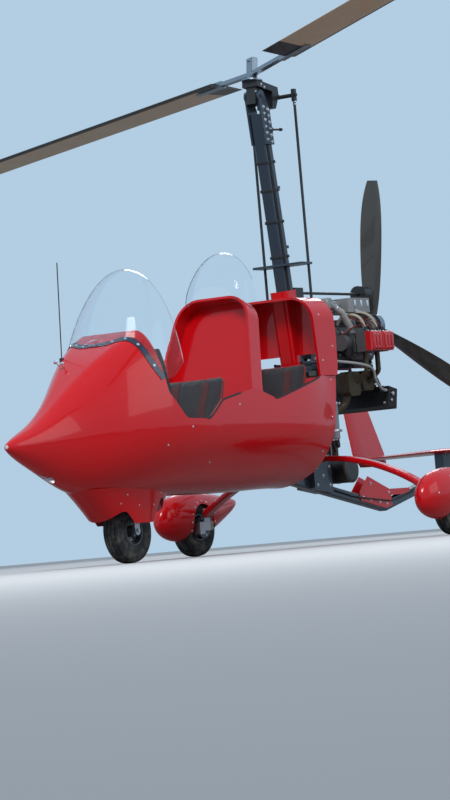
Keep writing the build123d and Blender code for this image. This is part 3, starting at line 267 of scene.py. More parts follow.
def add_drum(mesh, place, direction, radius, length, bevel=0.0015, segments=28):
    """A round bar or boss that starts at a place, with its edges rounded."""
    made = bmesh.ops.create_cone(mesh, cap_ends=True, segments=segments, radius1=radius, radius2=radius,
                                 depth=length,
                                 matrix=standing(place, direction) @ Matrix.Translation((0, 0, length / 2)))
    if bevel:
        rims = {edge for vert in made["verts"] for edge in vert.link_edges
                if any(len(face.verts) > 4 for face in edge.link_faces)}
        bmesh.ops.bevel(mesh, geom=list(rims), offset=bevel, segments=2, profile=0.5, affect="EDGES",
                        material=-1)


pod_skin = skin_tree("pod_shell")
touching = 0.0015
screen_foot = [vert.co.copy() for vert in nodes["front_screen"].data.vertices
               if pod_skin.find_nearest(vert.co)[3] < touching]
foot_centre, foot_sweep, foot_steps, foot_window = Vector((ahead(1.74), 0, 0)), 88, 60, radians(2.2)
foot_line = []
for step in range(foot_steps + 1):
    bearing = radians(-foot_sweep + 2 * foot_sweep * step / foot_steps)
    ray = Vector((cos(bearing), sin(bearing)))
    near = [point for point in screen_foot
            if (Vector((point.x, point.y)) - foot_centre.xy).angle(ray, 9) < foot_window]
    if near:
        foot_line.append(sum(near, Vector()) / len(near))
strip_up, strip_down, strip_lift = 0.006, 0.034, 0.0022
mesh = bmesh.new()
rows = []
for before, here, after in zip(foot_line[:1] + foot_line[:-1], foot_line, foot_line[1:] + foot_line[-1:]):
    place, normal, index, distance = pod_skin.find_nearest(here)
    down = (after - before).normalized().cross(normal)
    rows.append([pod_skin.find_nearest(here + down * shift)[0] + normal * strip_lift
                 for shift in (-strip_up, 0.25 * strip_down, 0.65 * strip_down, strip_down)])
strip_verts = [[mesh.verts.new(point) for point in row] for row in rows]
edges = [mesh.edges.new((a, b)) for row in strip_verts for a, b in zip(row, row[1:])]
for first, second in zip(strip_verts, strip_verts[1:]):
    bmesh.ops.bridge_loops(mesh, edges=[edge for edge in edges if edge.verts[0] in first + second
                                        and edge.verts[1] in first + second])
bmesh.ops.recalc_face_normals(mesh, faces=mesh.faces)
trim_blue = hard_finish("trim_blue", (0.010, 0.016, 0.045), 0.22, coat=0.6, mottle=0.15, dust=0.04,
                        scale=20.0)
band = finish_piece("screen_band", mesh, "airframe", trim_blue)
thicken = band.modifiers.new("thickness", "SOLIDIFY")
thicken.thickness = 0.003
thicken.offset = 0.0
bright = hard_finish("bright_screws", (0.78, 0.78, 0.80), 0.22, metallic=1.0, mottle=0.1, dust=0.02,
                     scale=60.0)
mesh = bmesh.new()
for row in rows[2:-2:4]:
    place, normal, index, distance = pod_skin.find_nearest((row[1] + row[2]) / 2)
    add_drum(mesh, place + normal * 0.002, normal, 0.0085, 0.0055, bevel=0.0028, segments=20)
finish_piece("screen_band_screws", mesh, "airframe", bright)

# Small bright screws hold the pod: along its rear edge, the cowl, the chin and the nose. Each is set where
# a line from the side meets the moulding.
def on_skin(skin, start, direction):
    """The place and normal where a line from a start point meets a surface, or the far end if it misses."""
    direction = Vector(direction).normalized()
    place, normal, index, distance = skin.ray_cast(Vector(start), direction)
    return (place, normal) if place else (Vector(start) + 9 * direction, -direction)


def set_screw(mesh, skin, start, direction, reach, radius, height, bevel=0.0012, segments=14, sunk=0.0006):
    """A low round head where a line from a start point meets a surface between two distances."""
    place, normal = on_skin(skin, start, direction)
    if reach[0] < (place - Vector(start)).length < reach[1]:
        add_drum(mesh, place - normal * sunk, normal, radius, height, bevel=bevel, segments=segments)


fitting_skin = skin_tree("pod_shell", "rear_cowl", "chin_fairing")
# columns: distance ahead, height
pod_rows = ((0.30, 1.30), (0.20, 1.12), (0.25, 0.93), (0.31, 0.72), (0.40, 0.53), (0.32, 1.04), (0.62, 0.90),
            (1.30, 0.80), (1.76, 0.69), (1.55, 0.50), (1.95, 0.60))
chin_rows = ((1.72, 0.315), (1.86, 0.30), (2.0, 0.30), (2.14, 0.315), (1.78, 0.36), (2.1, 0.36))
mesh = bmesh.new()
for side in (-1, 1):
    for rows, radius, height, bevel in ((pod_rows, 0.0055, 0.0032, 0.0012),
                                        (chin_rows, 0.0045, 0.003, 0.001)):
        for distance, level in rows:
            set_screw(mesh, fitting_skin, (ahead(distance), side * 0.9, level), (0, -side, 0), (0.4, 1.4),
                      radius, height, bevel, sunk=0.001)
finish_piece("pod_screws", mesh, "airframe", bright)

# On the nose: a small pale lamp at the tip, a pair of probes on short stalks to starboard, and the whip
# antenna, which is sprung steel under black paint.
mesh = bmesh.new()
tip_place, tip_normal = on_skin(fitting_skin, (ahead(3.2), 0.004, 0.640), (-1, 0, 0))
add_drum(mesh, tip_place - tip_normal * 0.004, tip_normal, 0.010, 0.010, bevel=0.004, segments=20)
pale_plastic = hard_finish("pale_plastic", (0.74, 0.74, 0.72), 0.3, coat=0.3, mottle=0.1, dust=0.05,
                           scale=30.0)
finish_piece("nose_lamp", mesh, "airframe", pale_plastic)
mesh = bmesh.new()
for distance, offset in ((2.275, -0.07), (2.235, -0.13)):
    place, normal = on_skin(fitting_skin, (ahead(distance), offset, 1.6), (0, 0, -1))
    add_drum(mesh, place - normal * 0.003, normal, 0.0045, 0.026, bevel=0.001, segments=12)
    add_drum(mesh, place + normal * 0.020, normal, 0.011, 0.018, bevel=0.007, segments=18)
finish_piece("nose_probes", mesh, "airframe", bright)
black_paint = hard_finish("black_paint", (0.012, 0.013, 0.015), 0.36, coat=0.2, mottle=0.2, dust=0.12,
                          scale=9.0, relief=0.12)
dress(black_paint, "antenna")

# The two seats: foam cushions and backs in black cloth, sewn in three channels with piped edges.
# Each pad is puffed up by cloth simulation from a slightly smaller block, then drawn in at its seams.
weave_group = bpy.data.node_groups.new("cloth_weave", "ShaderNodeTree")
for socket, kind, value in (("Color", "NodeSocketColor", (0.05, 0.05, 0.06, 1)),
                            ("Threads", "NodeSocketFloat", 260.0)):
    weave_group.interface.new_socket(socket, in_out="INPUT", socket_type=kind).default_value = value
for socket, kind in (("Color", "NodeSocketColor"), ("Height", "NodeSocketFloat")):
    weave_group.interface.new_socket(socket, in_out="OUTPUT", socket_type=kind)
weave_in = add_node(weave_group, "NodeGroupInput")
weave_out = add_node(weave_group, "NodeGroupOutput")
weave_place = add_node(weave_group, "ShaderNodeTexCoord")
warp = add_node(weave_group, "ShaderNodeTexWave", {"Distortion": 0.4}, bands_direction="X")
weft = add_node(weave_group, "ShaderNodeTexWave", {"Distortion": 0.4}, bands_direction="Y")
rise = add_node(weave_group, "ShaderNodeTexWave", {"Distortion": 0.4}, bands_direction="Z")
threads = add_node(weave_group, "ShaderNodeMath", operation="MAXIMUM")
all_threads = add_node(weave_group, "ShaderNodeMath", operation="MAXIMUM")
fade = add_node(weave_group, "ShaderNodeTexNoise", {"Scale": 9.0, "Detail": 6.0})
thread_shade = add_node(weave_group, "ShaderNodeMapRange", {"To Min": 0.55, "To Max": 1.1})
fade_shade = add_node(weave_group, "ShaderNodeMapRange", {"To Min": 0.75, "To Max": 1.25})
shade = add_node(weave_group, "ShaderNodeMath", operation="MULTIPLY")
shaded = add_node(weave_group, "ShaderNodeVectorMath", operation="SCALE")
join(weave_group,
     *[(weave_place.outputs["Object"], wave.inputs["Vector"]) for wave in (warp, weft, rise)],
     *[(weave_in.outputs["Threads"], wave.inputs["Scale"]) for wave in (warp, weft, rise)],
     (weave_place.outputs["Object"], fade.inputs["Vector"]),
     (warp.outputs["Fac"], threads.inputs[0]), (weft.outputs["Fac"], threads.inputs[1]),
     (threads.outputs[0], all_threads.inputs[0]), (rise.outputs["Fac"], all_threads.inputs[1]),
     (all_threads.outputs[0], thread_shade.inputs["Value"]),
     (fade.outputs["Fac"], fade_shade.inputs["Value"]),
     (thread_shade.outputs[0], shade.inputs[0]), (fade_shade.outputs[0], shade.inputs[1]),
     (weave_in.outputs["Color"], shaded.inputs[0]), (shade.outputs[0], shaded.inputs["Scale"]),
     (shaded.outputs[0], weave_out.inputs["Color"]), (all_threads.outputs[0], weave_out.inputs["Height"]))


def cloth_finish(name, colour, threads=260.0, roughness=0.85):
    """Woven cloth or webbing."""
    material = bpy.data.materials.new(name)
    material.use_nodes = True
    tree = material.node_tree
    shader = tree.nodes["Principled BSDF"]
    shader.inputs["Roughness"].default_value = roughness
    shader.inputs["Sheen Weight"].default_value = 0.3
    weave = add_node(tree, "ShaderNodeGroup", node_tree=weave_group)
    weave.inputs["Color"].default_value = (*colour, 1)
    weave.inputs["Threads"].default_value = threads
    relief = add_node(tree, "ShaderNodeBump", {"Strength": 0.5, "Distance": 0.0006})
    join(tree, (weave.outputs["Color"], shader.inputs["Base Color"]),
         (weave.outputs["Height"], relief.inputs["Height"]),
         (relief.outputs["Normal"], shader.inputs["Normal"]))
    return material


def bake(piece):
    """Apply a piece's modifiers to its mesh."""
    applied = bpy.data.meshes.new_from_object(piece.evaluated_get(bpy.context.evaluated_depsgraph_get()))
    piece.modifiers.clear()
    piece.data = applied


def add_pipe(mesh, points, radius, segments=14, steps=10):
    """A round tube along a smooth NURBS line through control points."""
    curve = bpy.data.curves.new("route", "CURVE")
    curve.dimensions = "3D"
    spline = curve.splines.new("NURBS")
    spline.points.add(len(points) - 1)
    for target, point in zip(spline.points, points):
        target.co = (*point, 1)
    spline.order_u = 3
    spline.use_endpoint_u = True
    spline.resolution_u = steps
    curve.bevel_depth = radius
    curve.bevel_resolution = segments // 4
    curve.use_fill_caps = True
    holder = bpy.data.objects.new("route", curve)
    solid = bpy.data.meshes.new_from_object(holder)
    mesh.from_mesh(solid)
    bpy.data.objects.remove(holder)
    bpy.data.curves.remove(curve)
    bpy.data.meshes.remove(solid)


def sew_piping(name, length, width, depth, place):
    """A round welt that lies on a pad's sides, all the way round below its crown."""
    pad_skin = skin_tree(name)
    corner, level, outside, welt_radius = 0.040, 0.10 * depth, 0.08, 0.0034
    half_x, half_y = length / 2 - corner, width / 2 - corner
    loop = []
    for centre_x, centre_y, first in ((half_x, half_y, 0), (-half_x, half_y, 90), (-half_x, -half_y, 180),
                                      (half_x, -half_y, 270)):
        centre = Vector((centre_x, centre_y, level))
        for turn in (0, 30, 60, 90):
            out = Vector((cos(radians(first + turn)), sin(radians(first + turn)), 0))
            loop.append(on_skin(pad_skin, centre + out * (corner + outside), -out)[0])
        onward = Vector((-out.y, out.x, 0))
        run = (length if abs(onward.x) > 0.5 else width) - 2 * corner
        for share in (0.25, 0.5, 0.75):
            loop.append(on_skin(pad_skin, centre + onward * run * share + out * (corner + outside), -out)[0])
    welt = bmesh.new()
    add_pipe(welt, loop + loop[:1], welt_radius, segments=8, steps=5)
    bmesh.ops.transform(welt, matrix=place, verts=welt.verts)
    finish_piece(name + "_piping", welt, "airframe", piping_red)


seat_cloth = cloth_finish("seat_cloth", (0.030, 0.031, 0.036))
piping_red = cloth_finish("piping_red", (0.40, 0.010, 0.012), 500.0)


def seat_pad(name, length, width, depth, place, channels):
    """A padded block in its own frame: length along x, width along y, its crowned face at +z."""
    shrink, corner_round, voxel = 0.82, 0.026, 0.0075
    swell_limit, crown, crown_slack, channel_half, channel_depth = 0.012, 0.010, 0.006, 0.012, 0.009
    mesh = bmesh.new()
    bmesh.ops.create_cube(mesh, size=1.0, matrix=Matrix.Diagonal((length, width, depth * shrink, 1)))
    bmesh.ops.bevel(mesh, geom=mesh.edges[:], offset=corner_round, segments=4, profile=0.5, affect="EDGES",
                    material=-1)
    data = bpy.data.meshes.new(name)
    mesh.to_mesh(data)
    mesh.free()
    pad = bpy.data.objects.new(name, data)
    scene.collection.objects.link(pad)
    remesh = pad.modifiers.new("even_faces", "REMESH")
    remesh.mode = "VOXEL"
    remesh.voxel_size = voxel
    bake(pad)
    start = [vert.co.copy() for vert in pad.data.vertices]
    cloth = pad.modifiers.new("puff", "CLOTH")
    cloth.settings.use_pressure = True
    cloth.settings.uniform_pressure_force = 4.0
    cloth.settings.effector_weights.gravity = 0.0
    cloth.settings.quality = 4
    cloth.point_cache.frame_start, cloth.point_cache.frame_end = 1, 20
    for frame_number in range(1, 21):
        scene.frame_set(frame_number)
    bake(pad)
    scene.frame_set(1)
    for vert, rest in zip(pad.data.vertices, start):
        move = vert.co - rest
        if move.length > swell_limit:
            vert.co = rest + move.normalized() * swell_limit
        edge = max(abs(vert.co.x) / (length / 2), abs(vert.co.y) / (width / 2))
        if vert.co.z > 0:
            vert.co.z += crown * max(0.0, 1 - edge * edge)
            for channel in channels:
                gap = abs(vert.co.y - channel * width) / channel_half
                if gap < 3 and edge < 0.97:
                    vert.co.z -= channel_depth * exp(-gap * gap)
        vert.co.z = max(-depth / 2, min(depth / 2 + crown_slack, vert.co.z))
    smooth = pad.modifiers.new("smooth", "SUBSURF")
    smooth.levels = smooth.render_levels = 1
    for face in pad.data.polygons:
        face.use_smooth = True
    bake(pad)
    sew_piping(name, length, width, depth, place)
    pad.data.transform(place)
    pad.data.materials.append(seat_cloth)
    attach(pad, "airframe")
    return pad


# columns: seat, front edge of the cushion, foot of the back, lean, height of the back
seats = (("front_seat", 1.710, 1.295, radians(18), 0.560), ("rear_seat", 0.860, 0.425, radians(14), 0.620))
seat_width, thickness, channels = 0.400, 0.070, (-0.17, 0.17)
for seat, front, foot, lean, height in seats:
    cushion_length = front - foot - thickness
    cushion = seat_pad(seat + "_cushion", cushion_length, seat_width, thickness,
                       Matrix.Translation((ahead(foot + thickness + cushion_length / 2), 0, 0.475)), channels)
    middle = Vector((ahead(foot + thickness / 2 + 0.004) - tan(lean) * height / 2, 0, 0.44 + height / 2))
    back_turn = Matrix.Rotation(lean, 4, "Y").inverted() @ Matrix.Rotation(pi / 2, 4, "Y")
    back = seat_pad(seat + "_back", height - 0.03, seat_width, thickness * 0.92,
                    Matrix.Translation(middle) @ back_turn, channels)
    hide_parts(seat)
    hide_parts(seat)

# Harness webbing: shoulder and lap straps of dark red webbing lie on each seat and end in a bright buckle
# of pressed steel. Each strap is a row of thin cross-sections laid on the pad and bridged.
def add_block(mesh, low, high, bevel=0.003, matrix=None, segments=3):
    """A box between two corners with all its edges rounded."""
    low, high = Vector(low), Vector(high)
    size = high - low
    made = bmesh.ops.create_cube(mesh, size=1.0,
                                 matrix=(matrix or Matrix()) @ Matrix.Translation((low + high) / 2)
                                 @ Matrix.Diagonal((size.x, size.y, size.z, 1)))
    if bevel:
        edges = list({edge for vert in made["verts"] for edge in vert.link_edges})
        bmesh.ops.bevel(mesh, geom=edges, offset=bevel, segments=segments, profile=0.5, affect="EDGES",
                        material=-1)


strap_web = cloth_finish("strap_web", (0.075, 0.012, 0.013), 700.0, roughness=0.7)


def lay_strap(mesh, skin, starts, direction, width):
    """A flat strap along places found on a surface, raised a little and given some thickness."""
    lift, sunk, taper = 0.0035, 0.001, 0.96
    rings = []
    for index, start in enumerate(starts):
        place, normal = on_skin(skin, start, direction)
        step = starts[min(index + 1, len(starts) - 1)] - starts[max(index - 1, 0)]
        across = step.cross(-direction).normalized() * width / 2
        raised = place - direction * lift
        low = place + direction * sunk
        corners = [mesh.verts.new(point) for point in
                   (low - across, raised - across * taper, raised + across * taper, low + across)]
        rings.append([mesh.edges.new(pair) for pair in zip(corners, corners[1:] + corners[:1])])
    for first, second in zip(rings, rings[1:]):
        bmesh.ops.bridge_loops(mesh, edges=first + second)
    bmesh.ops.holes_fill(mesh, edges=rings[0] + rings[-1], sides=4)


strap_step, shoulder_width, lap_width = 0.022, 0.044, 0.042
for seat, front, foot, lean, height in seats:
    back_skin, cushion_skin = skin_tree(seat + "_back"), skin_tree(seat + "_cushion")
    mesh = bmesh.new()
    for side in (-1, 1):
        starts = [Vector((ahead(foot + 0.30) - tan(lean) * rise, side * (0.062 + 0.045 * rise / height),
                          0.47 + rise))
                  for rise in [0.09 + strap_step * step for step in range(int((height - 0.14) / strap_step))]]
        lay_strap(mesh, back_skin, starts, Vector((-1, 0, 0)), shoulder_width)
        starts = [Vector((ahead(foot + 0.115 + 0.018 * step), side * (0.165 - 0.0155 * step),
                          0.60)) for step in range(9)]
        lay_strap(mesh, cushion_skin, starts, Vector((0, 0, -1)), lap_width)
    bmesh.ops.recalc_face_normals(mesh, faces=mesh.faces)
    finish_piece(seat + "_straps", mesh, "airframe", strap_web)
    mesh = bmesh.new()
    place, normal = on_skin(cushion_skin, (ahead(foot + 0.262), 0, 0.60), (0, 0, -1))
    add_block(mesh, place + Vector((-0.032, -0.030, 0.001)), place + Vector((0.028, 0.030, 0.017)), 0.005)
    add_drum(mesh, place + Vector((0, 0, 0.015)), (0, 0, 1), 0.016, 0.005, bevel=0.0015)
    finish_piece(seat + "_buckle", mesh, "airframe", bright)

# The instrument board: a leatherette-look face with round gauges in bright bezels, switches and knobs. The
# sticks stand before the seats, of black-painted tube.
panel_black = hard_finish("panel_black", (0.016, 0.016, 0.018), 0.6, mottle=0.2, dust=0.05, scale=14.0,
                          relief=0.4)
dress(panel_black, "instrument_panel")
dress(black_paint, "control_sticks")
alloy = hard_finish("alloy", (0.30, 0.35, 0.40), 0.26, metallic=0.9, mottle=0.2, dust=0.06, scale=20.0,
                    relief=0.08)
panel_skin = skin_tree("instrument_panel")
panel_start, panel_near, panel_far = ahead(1.5), ahead(1.6), ahead(2.1)
dial_share, mark_foot, mark_tip = 0.86, 0.66, 0.80
bezel_mesh = bmesh.new()
dial_mesh = bmesh.new()
hand_mesh = bmesh.new()
# columns: distance to port, height, radius of each gauge
for y, z, radius in ((-0.155, 0.985, 0.038), (-0.055, 1.000, 0.040), (0.050, 1.000, 0.040),
                     (0.150, 0.985, 0.038), (-0.105, 0.905, 0.028), (0.0, 0.905, 0.030),
                     (0.105, 0.905, 0.028)):
    place, normal = on_skin(panel_skin, (panel_start, y, z), (1, 0, 0))
    if not panel_near < place.x < panel_far:
        continue
    add_drum(bezel_mesh, (place.x + 0.001, y, z), (-1, 0, 0), radius, 0.009, bevel=0.003, segments=40)
    add_drum(dial_mesh, (place.x - 0.0079, y, z), (-1, 0, 0), radius * dial_share, 0.0006, bevel=0,
             segments=40)
    for mark in range(11):
        turn = radians(-130 + 26 * mark)
        spoke = Matrix.Translation((place.x - 0.0086, y, z)) @ Matrix.Rotation(turn, 4, "X")
        add_block(hand_mesh, (-0.0004, -0.0006, radius * mark_foot), (0.0004, 0.0006, radius * mark_tip), 0,
                  spoke)
    spoke = Matrix.Translation((place.x - 0.0090, y, z)) @ Matrix.Rotation(radians(37 + 400 * y), 4, "X")
    add_block(hand_mesh, (-0.0004, -0.0011, -radius * 0.15), (0.0004, 0.0011, radius * 0.70), 0, spoke)
    add_drum(hand_mesh, (place.x - 0.0088, y, z), (-1, 0, 0), radius * 0.10, 0.0016, bevel=0.0004,
             segments=16)
switch_height = 0.845
for y in (-0.150, -0.100, -0.050, 0.050, 0.100, 0.150):
    place, normal = on_skin(panel_skin, (panel_start, y, switch_height), (1, 0, 0))
    if panel_near < place.x < panel_far:
        add_drum(bezel_mesh, (place.x + 0.001, y, switch_height), (-1, 0, 0), 0.008, 0.007, bevel=0.001,
                 segments=6)
        add_drum(hand_mesh, (place.x - 0.005, y, switch_height), (-1, 0, -0.35), 0.0028, 0.020, bevel=0.001,
                 segments=12)
gauge_face = hard_finish("gauge_face", (0.008, 0.008, 0.009), 0.35, mottle=0.05, dust=0.0, scale=40.0)
finish_piece("gauge_bezels", bezel_mesh, "airframe", alloy)
finish_piece("gauge_faces", dial_mesh, "airframe", gauge_face)
finish_piece("gauge_marks", hand_mesh, "airframe", pale_plastic)

# The cockpit rims are closed by a thin dark rubber edging pushed over the moulding. Its line is found by
# looking in from the side at each place along the rim, from above down, until the pod's skin is met.
hose_rubber = hard_finish("hose_rubber", (0.012, 0.012, 0.013), 0.5, mottle=0.2, dust=0.2, scale=30.0,
                          relief=0.3)
rim_steps, rim_top, rim_low, rim_drop, rim_inside = 16, 1.15, 0.6, 0.003, 0.14
mesh = bmesh.new()
sill_skin = skin_tree("pod_shell")
for side in (-1, 1):
    for first, last in ((1.62, 1.27), (0.93, 0.40)):
        rim_line = []
        for step in range(rim_steps + 1):
            x = ahead(first + (last - first) * step / rim_steps)
            level = rim_top
            while level > rim_low:
                place, normal, index, distance = sill_skin.ray_cast(Vector((x, side * 1.0, level)),
                                                                    Vector((0, -side, 0)))
                if place and abs(place.y) > rim_inside and place.y * side > 0:
                    break
                level -= rim_drop
            if place and level > rim_low:
                rim_line.append((x, place.y - side * 0.002, level))
        if len(rim_line) > 3:
            add_pipe(mesh, rim_line, 0.0052, segments=8, steps=3)
finish_piece("cockpit_edging", mesh, "airframe", hose_rubber)

# The three tyres: round-shouldered aircraft tyres with four grooves, moulded in one piece with raised
# rings on their walls, seated on the rims.
tyre_rubber = hard_finish("tyre_rubber", (0.014, 0.016, 0.018), 0.62, mottle=0.35, dust=0.35, scale=18.0,
                          relief=0.4)
# columns: distance from the middle of the tread, radius
tyre_profile = [(0.0405, 0.0785), (0.0445, 0.0820), (0.0470, 0.0900), (0.0503, 0.1000), (0.0514, 0.1010),
                (0.0521, 0.1100), (0.0524, 0.1200), (0.0517, 0.1320), (0.0503, 0.1410), (0.0494, 0.1425),
                (0.0470, 0.1520), (0.0425, 0.1598), (0.0376, 0.1642), (0.0366, 0.1608), (0.0322, 0.1612),
                (0.0312, 0.1667), (0.0150, 0.1696), (0.0141, 0.1652), (0.0099, 0.1653), (0.0090, 0.1699)]
tyre_loop = tyre_profile + [(-y, r) for y, r in reversed(tyre_profile)]
wheel_height, half_track = 0.170, 0.880
# columns: wheel body, rim node, tyre node, hub place, sides that show a brake
wheels = [("nose_wheel", "nose_rim", "nose_tyre", (ahead(1.930), 0, wheel_height), ()),
          ("main_wheel_left", "main_rim_left", "main_tyre_left", (ahead(0), half_track, wheel_height), (-1,)),
          ("main_wheel_right", "main_rim_right", "main_tyre_right", (ahead(0), -half_track, wheel_height),
           (1,))]
for body, rim, tyre, hub, brake_sides in wheels:
    mesh = bmesh.new()
    loop = [mesh.verts.new((hub[0], hub[1] + y, hub[2] + r)) for y, r in tyre_loop]
    ring = [mesh.edges.new(pair) for pair in zip(loop, loop[1:] + loop[:1])]
    bmesh.ops.spin(mesh, geom=loop + ring, cent=hub, axis=(0, 1, 0), angle=2 * pi, steps=72, use_merge=True)
    bmesh.ops.remove_doubles(mesh, verts=mesh.verts, dist=0.00005)
    bmesh.ops.recalc_face_normals(mesh, faces=mesh.faces)
    piece = finish_piece(body + "_grooved_tyre", mesh, body, tyre_rubber, crease=28)
    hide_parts(tyre)

# The rims are painted alloy. Each carries a ring of bolts on both faces and a valve stem, and the main
# wheels also a hub cap on the outer face and a steel brake disc on the leg's side. Axles and fork are steel.
rim_paint = hard_finish("rim_paint", (0.06, 0.07, 0.085), 0.33, metallic=0.5, coat=0.3, mottle=0.2, dust=0.4,
                        scale=22.0)
dress(rim_paint, "nose_rim", "main_rim_left", "main_rim_right")
steel = hard_finish("steel", (0.56, 0.56, 0.58), 0.28, metallic=1.0, mottle=0.25, dust=0.1, scale=30.0,
                    relief=0.1)
dress(steel, "main_axles", "nose_fork")


def add_bolt(mesh, place, direction, radius):
    """A washer and a hexagon head standing on a surface."""
    place, direction = Vector(place), Vector(direction).normalized()
    add_drum(mesh, place, direction, 1.45 * radius, 0.3 * radius, bevel=0, segments=18)
    add_drum(mesh, place + direction * 0.28 * radius, direction, radius, 0.8 * radius, bevel=0.12 * radius,
             segments=6)


def set_bolt(mesh, skin, start, direction, reach, radius, facing=None):
    """A bolt where a line from a start point meets a surface between two distances."""
    place, normal = on_skin(skin, start, direction)
    if reach[0] < (place - Vector(start)).length < reach[1]:
        add_bolt(mesh, place - normal * 0.0005, facing or normal, radius)


bolt_circle, disc_face, disc_radius, bell_face, bell_radius = 0.050, 0.0555, 0.058, 0.0510, 0.034
for body, rim, tyre, hub, brake_sides in wheels:
    rim_skin = skin_tree(rim)
    mesh = bmesh.new()
    for side in (-1, 1):
        for count in range(6):
            turn = radians(60 * count + 12)
            start = (hub[0] + bolt_circle * cos(turn), hub[1] + side * 0.2, hub[2] + bolt_circle * sin(turn))
            set_bolt(mesh, rim_skin, start, (0, -side, 0), (0, 0.4), 0.0048, facing=(0, side, 0))
        if side not in brake_sides and rim != "nose_rim":
            place, normal = on_skin(rim_skin, (hub[0] + 0.020, hub[1] + side * 0.2, hub[2]), (0, -side, 0))
            add_drum(mesh, (hub[0], place.y - side * 0.001, hub[2]), (0, side, 0), 0.027, 0.012, bevel=0.004)
    place, normal = on_skin(rim_skin, (hub[0] - 0.066, hub[1] + 0.2, hub[2]), (0, -1, 0))
    add_drum(mesh, place - normal * 0.001, (0, 1, 0), 0.0035, 0.012, bevel=0.001, segments=12)
    finish_piece(body + "_bolts", mesh, body, bright)
    for side in brake_sides:
        mesh = bmesh.new()
        add_drum(mesh, (hub[0], hub[1] + side * disc_face, hub[2]), (0, -side, 0), disc_radius, 0.005,
                 bevel=0.0008, segments=48)
        add_drum(mesh, (hub[0], hub[1] + side * bell_face, hub[2]), (0, -side, 0), bell_radius, 0.010,
                 bevel=0.001)
        finish_piece(body + "_brake_disc", mesh, body, steel)

# The brake calipers: cast blocks that bridge the disc behind the axle, each with two bolts and a hard
# line that runs up the back of the leg under clips.
caliper_tan = hard_finish("caliper_tan", (0.40, 0.31, 0.17), 0.36, metallic=0.8, mottle=0.35, dust=0.2,
                          scale=30.0, relief=0.3)
leg_radius, leg_centre = 1.298, -0.798
leg_skin_shift = 0.006
for side, hand in ((-1, "right"), (1, "left")):
    mesh = bmesh.new()
    for low, high in (((ahead(-0.074), 0.786, 0.146), (ahead(-0.028), 0.8205, 0.200)),
                      ((ahead(-0.078), 0.786, 0.150), (ahead(-0.0635), 0.8300, 0.196))):
        low, high = Vector(low), Vector(high)
        low.y, high.y = sorted((side * low.y, side * high.y))
        add_block(mesh, low, high, 0.004)
    finish_piece("caliper_" + hand, mesh, "airframe", caliper_tan)
    mesh = bmesh.new()
    for height in (0.158, 0.188):
        add_bolt(mesh, (ahead(-0.052), side * 0.7865, height), (0, -side, 0), 0.006)
    line_places = [(ahead(-0.05), side * 0.788, 0.198), (ahead(-0.052), side * 0.775, 0.235)]
    for angle in (34, 30, 26, 22, 18, 14, 10):
        line_places.append((ahead(-0.044), side * leg_radius * sin(radians(angle)),
                            leg_centre + leg_radius * cos(radians(angle))))
    add_pipe(mesh, line_places, 0.0035, segments=8, steps=5)
    for angle in (32, 25, 18, 11):
        across, up = sin(radians(angle)), cos(radians(angle))
        clip = (ahead(-0.044), side * (leg_radius * across - leg_skin_shift * up),
                leg_centre + leg_radius * up + leg_skin_shift * across)
        add_drum(mesh, clip, (0, side * up, -across), 0.0062, 0.012, bevel=0.001, segments=14)
    finish_piece("brake_line_" + hand, mesh, "airframe", steel)

# Screws that hold the spats: a ring round each inner opening and a row along each outer face, of the same
# bright steel as the pod's.
opening_radius, opening_height, screw_radius, screw_height = 0.128, 0.195, 0.0052, 0.003
mesh = bmesh.new()
spat_skin = skin_tree("spats")
for side in (-1, 1):
    for count in range(10):
        turn = radians(-20 + 22 * count)
        start = (ahead(opening_radius * cos(turn)), side * 0.70, opening_height + opening_radius * sin(turn))
        set_screw(mesh, spat_skin, start, (0, side, 0), (0, 0.16), screw_radius, screw_height)
    for distance, height in ((0.27, 0.24), (0.12, 0.33), (-0.06, 0.345), (-0.24, 0.29), (-0.33, 0.27)):
        set_screw(mesh, spat_skin, (ahead(distance), side * 1.2, height), (0, -side, 0), (0, 2.4),
                  screw_radius, screw_height)
finish_piece("spat_screws", mesh, "airframe", bright)

# The keel, the mast and the engine's cradle are dark blue painted box and tube. Bolts hold the gusset plates
# and saddles on the keel, and the crown of the nose fork.
frame_paint = hard_finish("frame_paint", (0.035, 0.055, 0.082), 0.30, metallic=0.35, coat=0.4, mottle=0.25,
                          dust=0.12, scale=7.0)
dress(frame_paint, "mast", "keel", "gear_saddle", "tail_saddle", "engine_frame", "rod_guides", "head_cheeks")
keel_skin = skin_tree("keel_gusset", "gear_saddle", "tail_saddle")
# columns: distance ahead, height
keel_rows = ((-0.44, 0.262), (-0.52, 0.246), (-0.62, 0.226), (-0.70, 0.214), (-0.53, 0.34), (-0.73, 0.28),
             (0.095, 0.350), (0.095, 0.45), (-0.04, 0.345), (-0.04, 0.45), (0.03, 0.40), (-1.46, 0.40),
             (-1.60, 0.44), (-1.74, 0.47))
fork_skin = skin_tree("nose_fork")
keel_mesh = bmesh.new()
fork_mesh = bmesh.new()
for side in (-1, 1):
    for height in (0.235, 0.275):
        set_bolt(fork_mesh, fork_skin, (ahead(1.930), side * 0.4, height), (0, -side, 0), (0.28, 0.52),
                 0.0055)
    for distance, height in keel_rows:
        set_bolt(keel_mesh, keel_skin, (ahead(distance), side * 0.3, height), (0, -side, 0), (0.2, 0.4),
                 0.0065)
finish_piece("fork_bolts", fork_mesh, "nose_fork", bright)
finish_piece("keel_bolts", keel_mesh, "airframe", bright)

# A thin conduit for the rudder's inner cable lies along each side of the keel, in black rubber from the
# gusset back to the tail saddle.
def route(points, side=1):
    """Places from rows of distance ahead, distance to one side and height."""
    return [Vector((ahead(distance), side * across, height)) for distance, across, height in points]


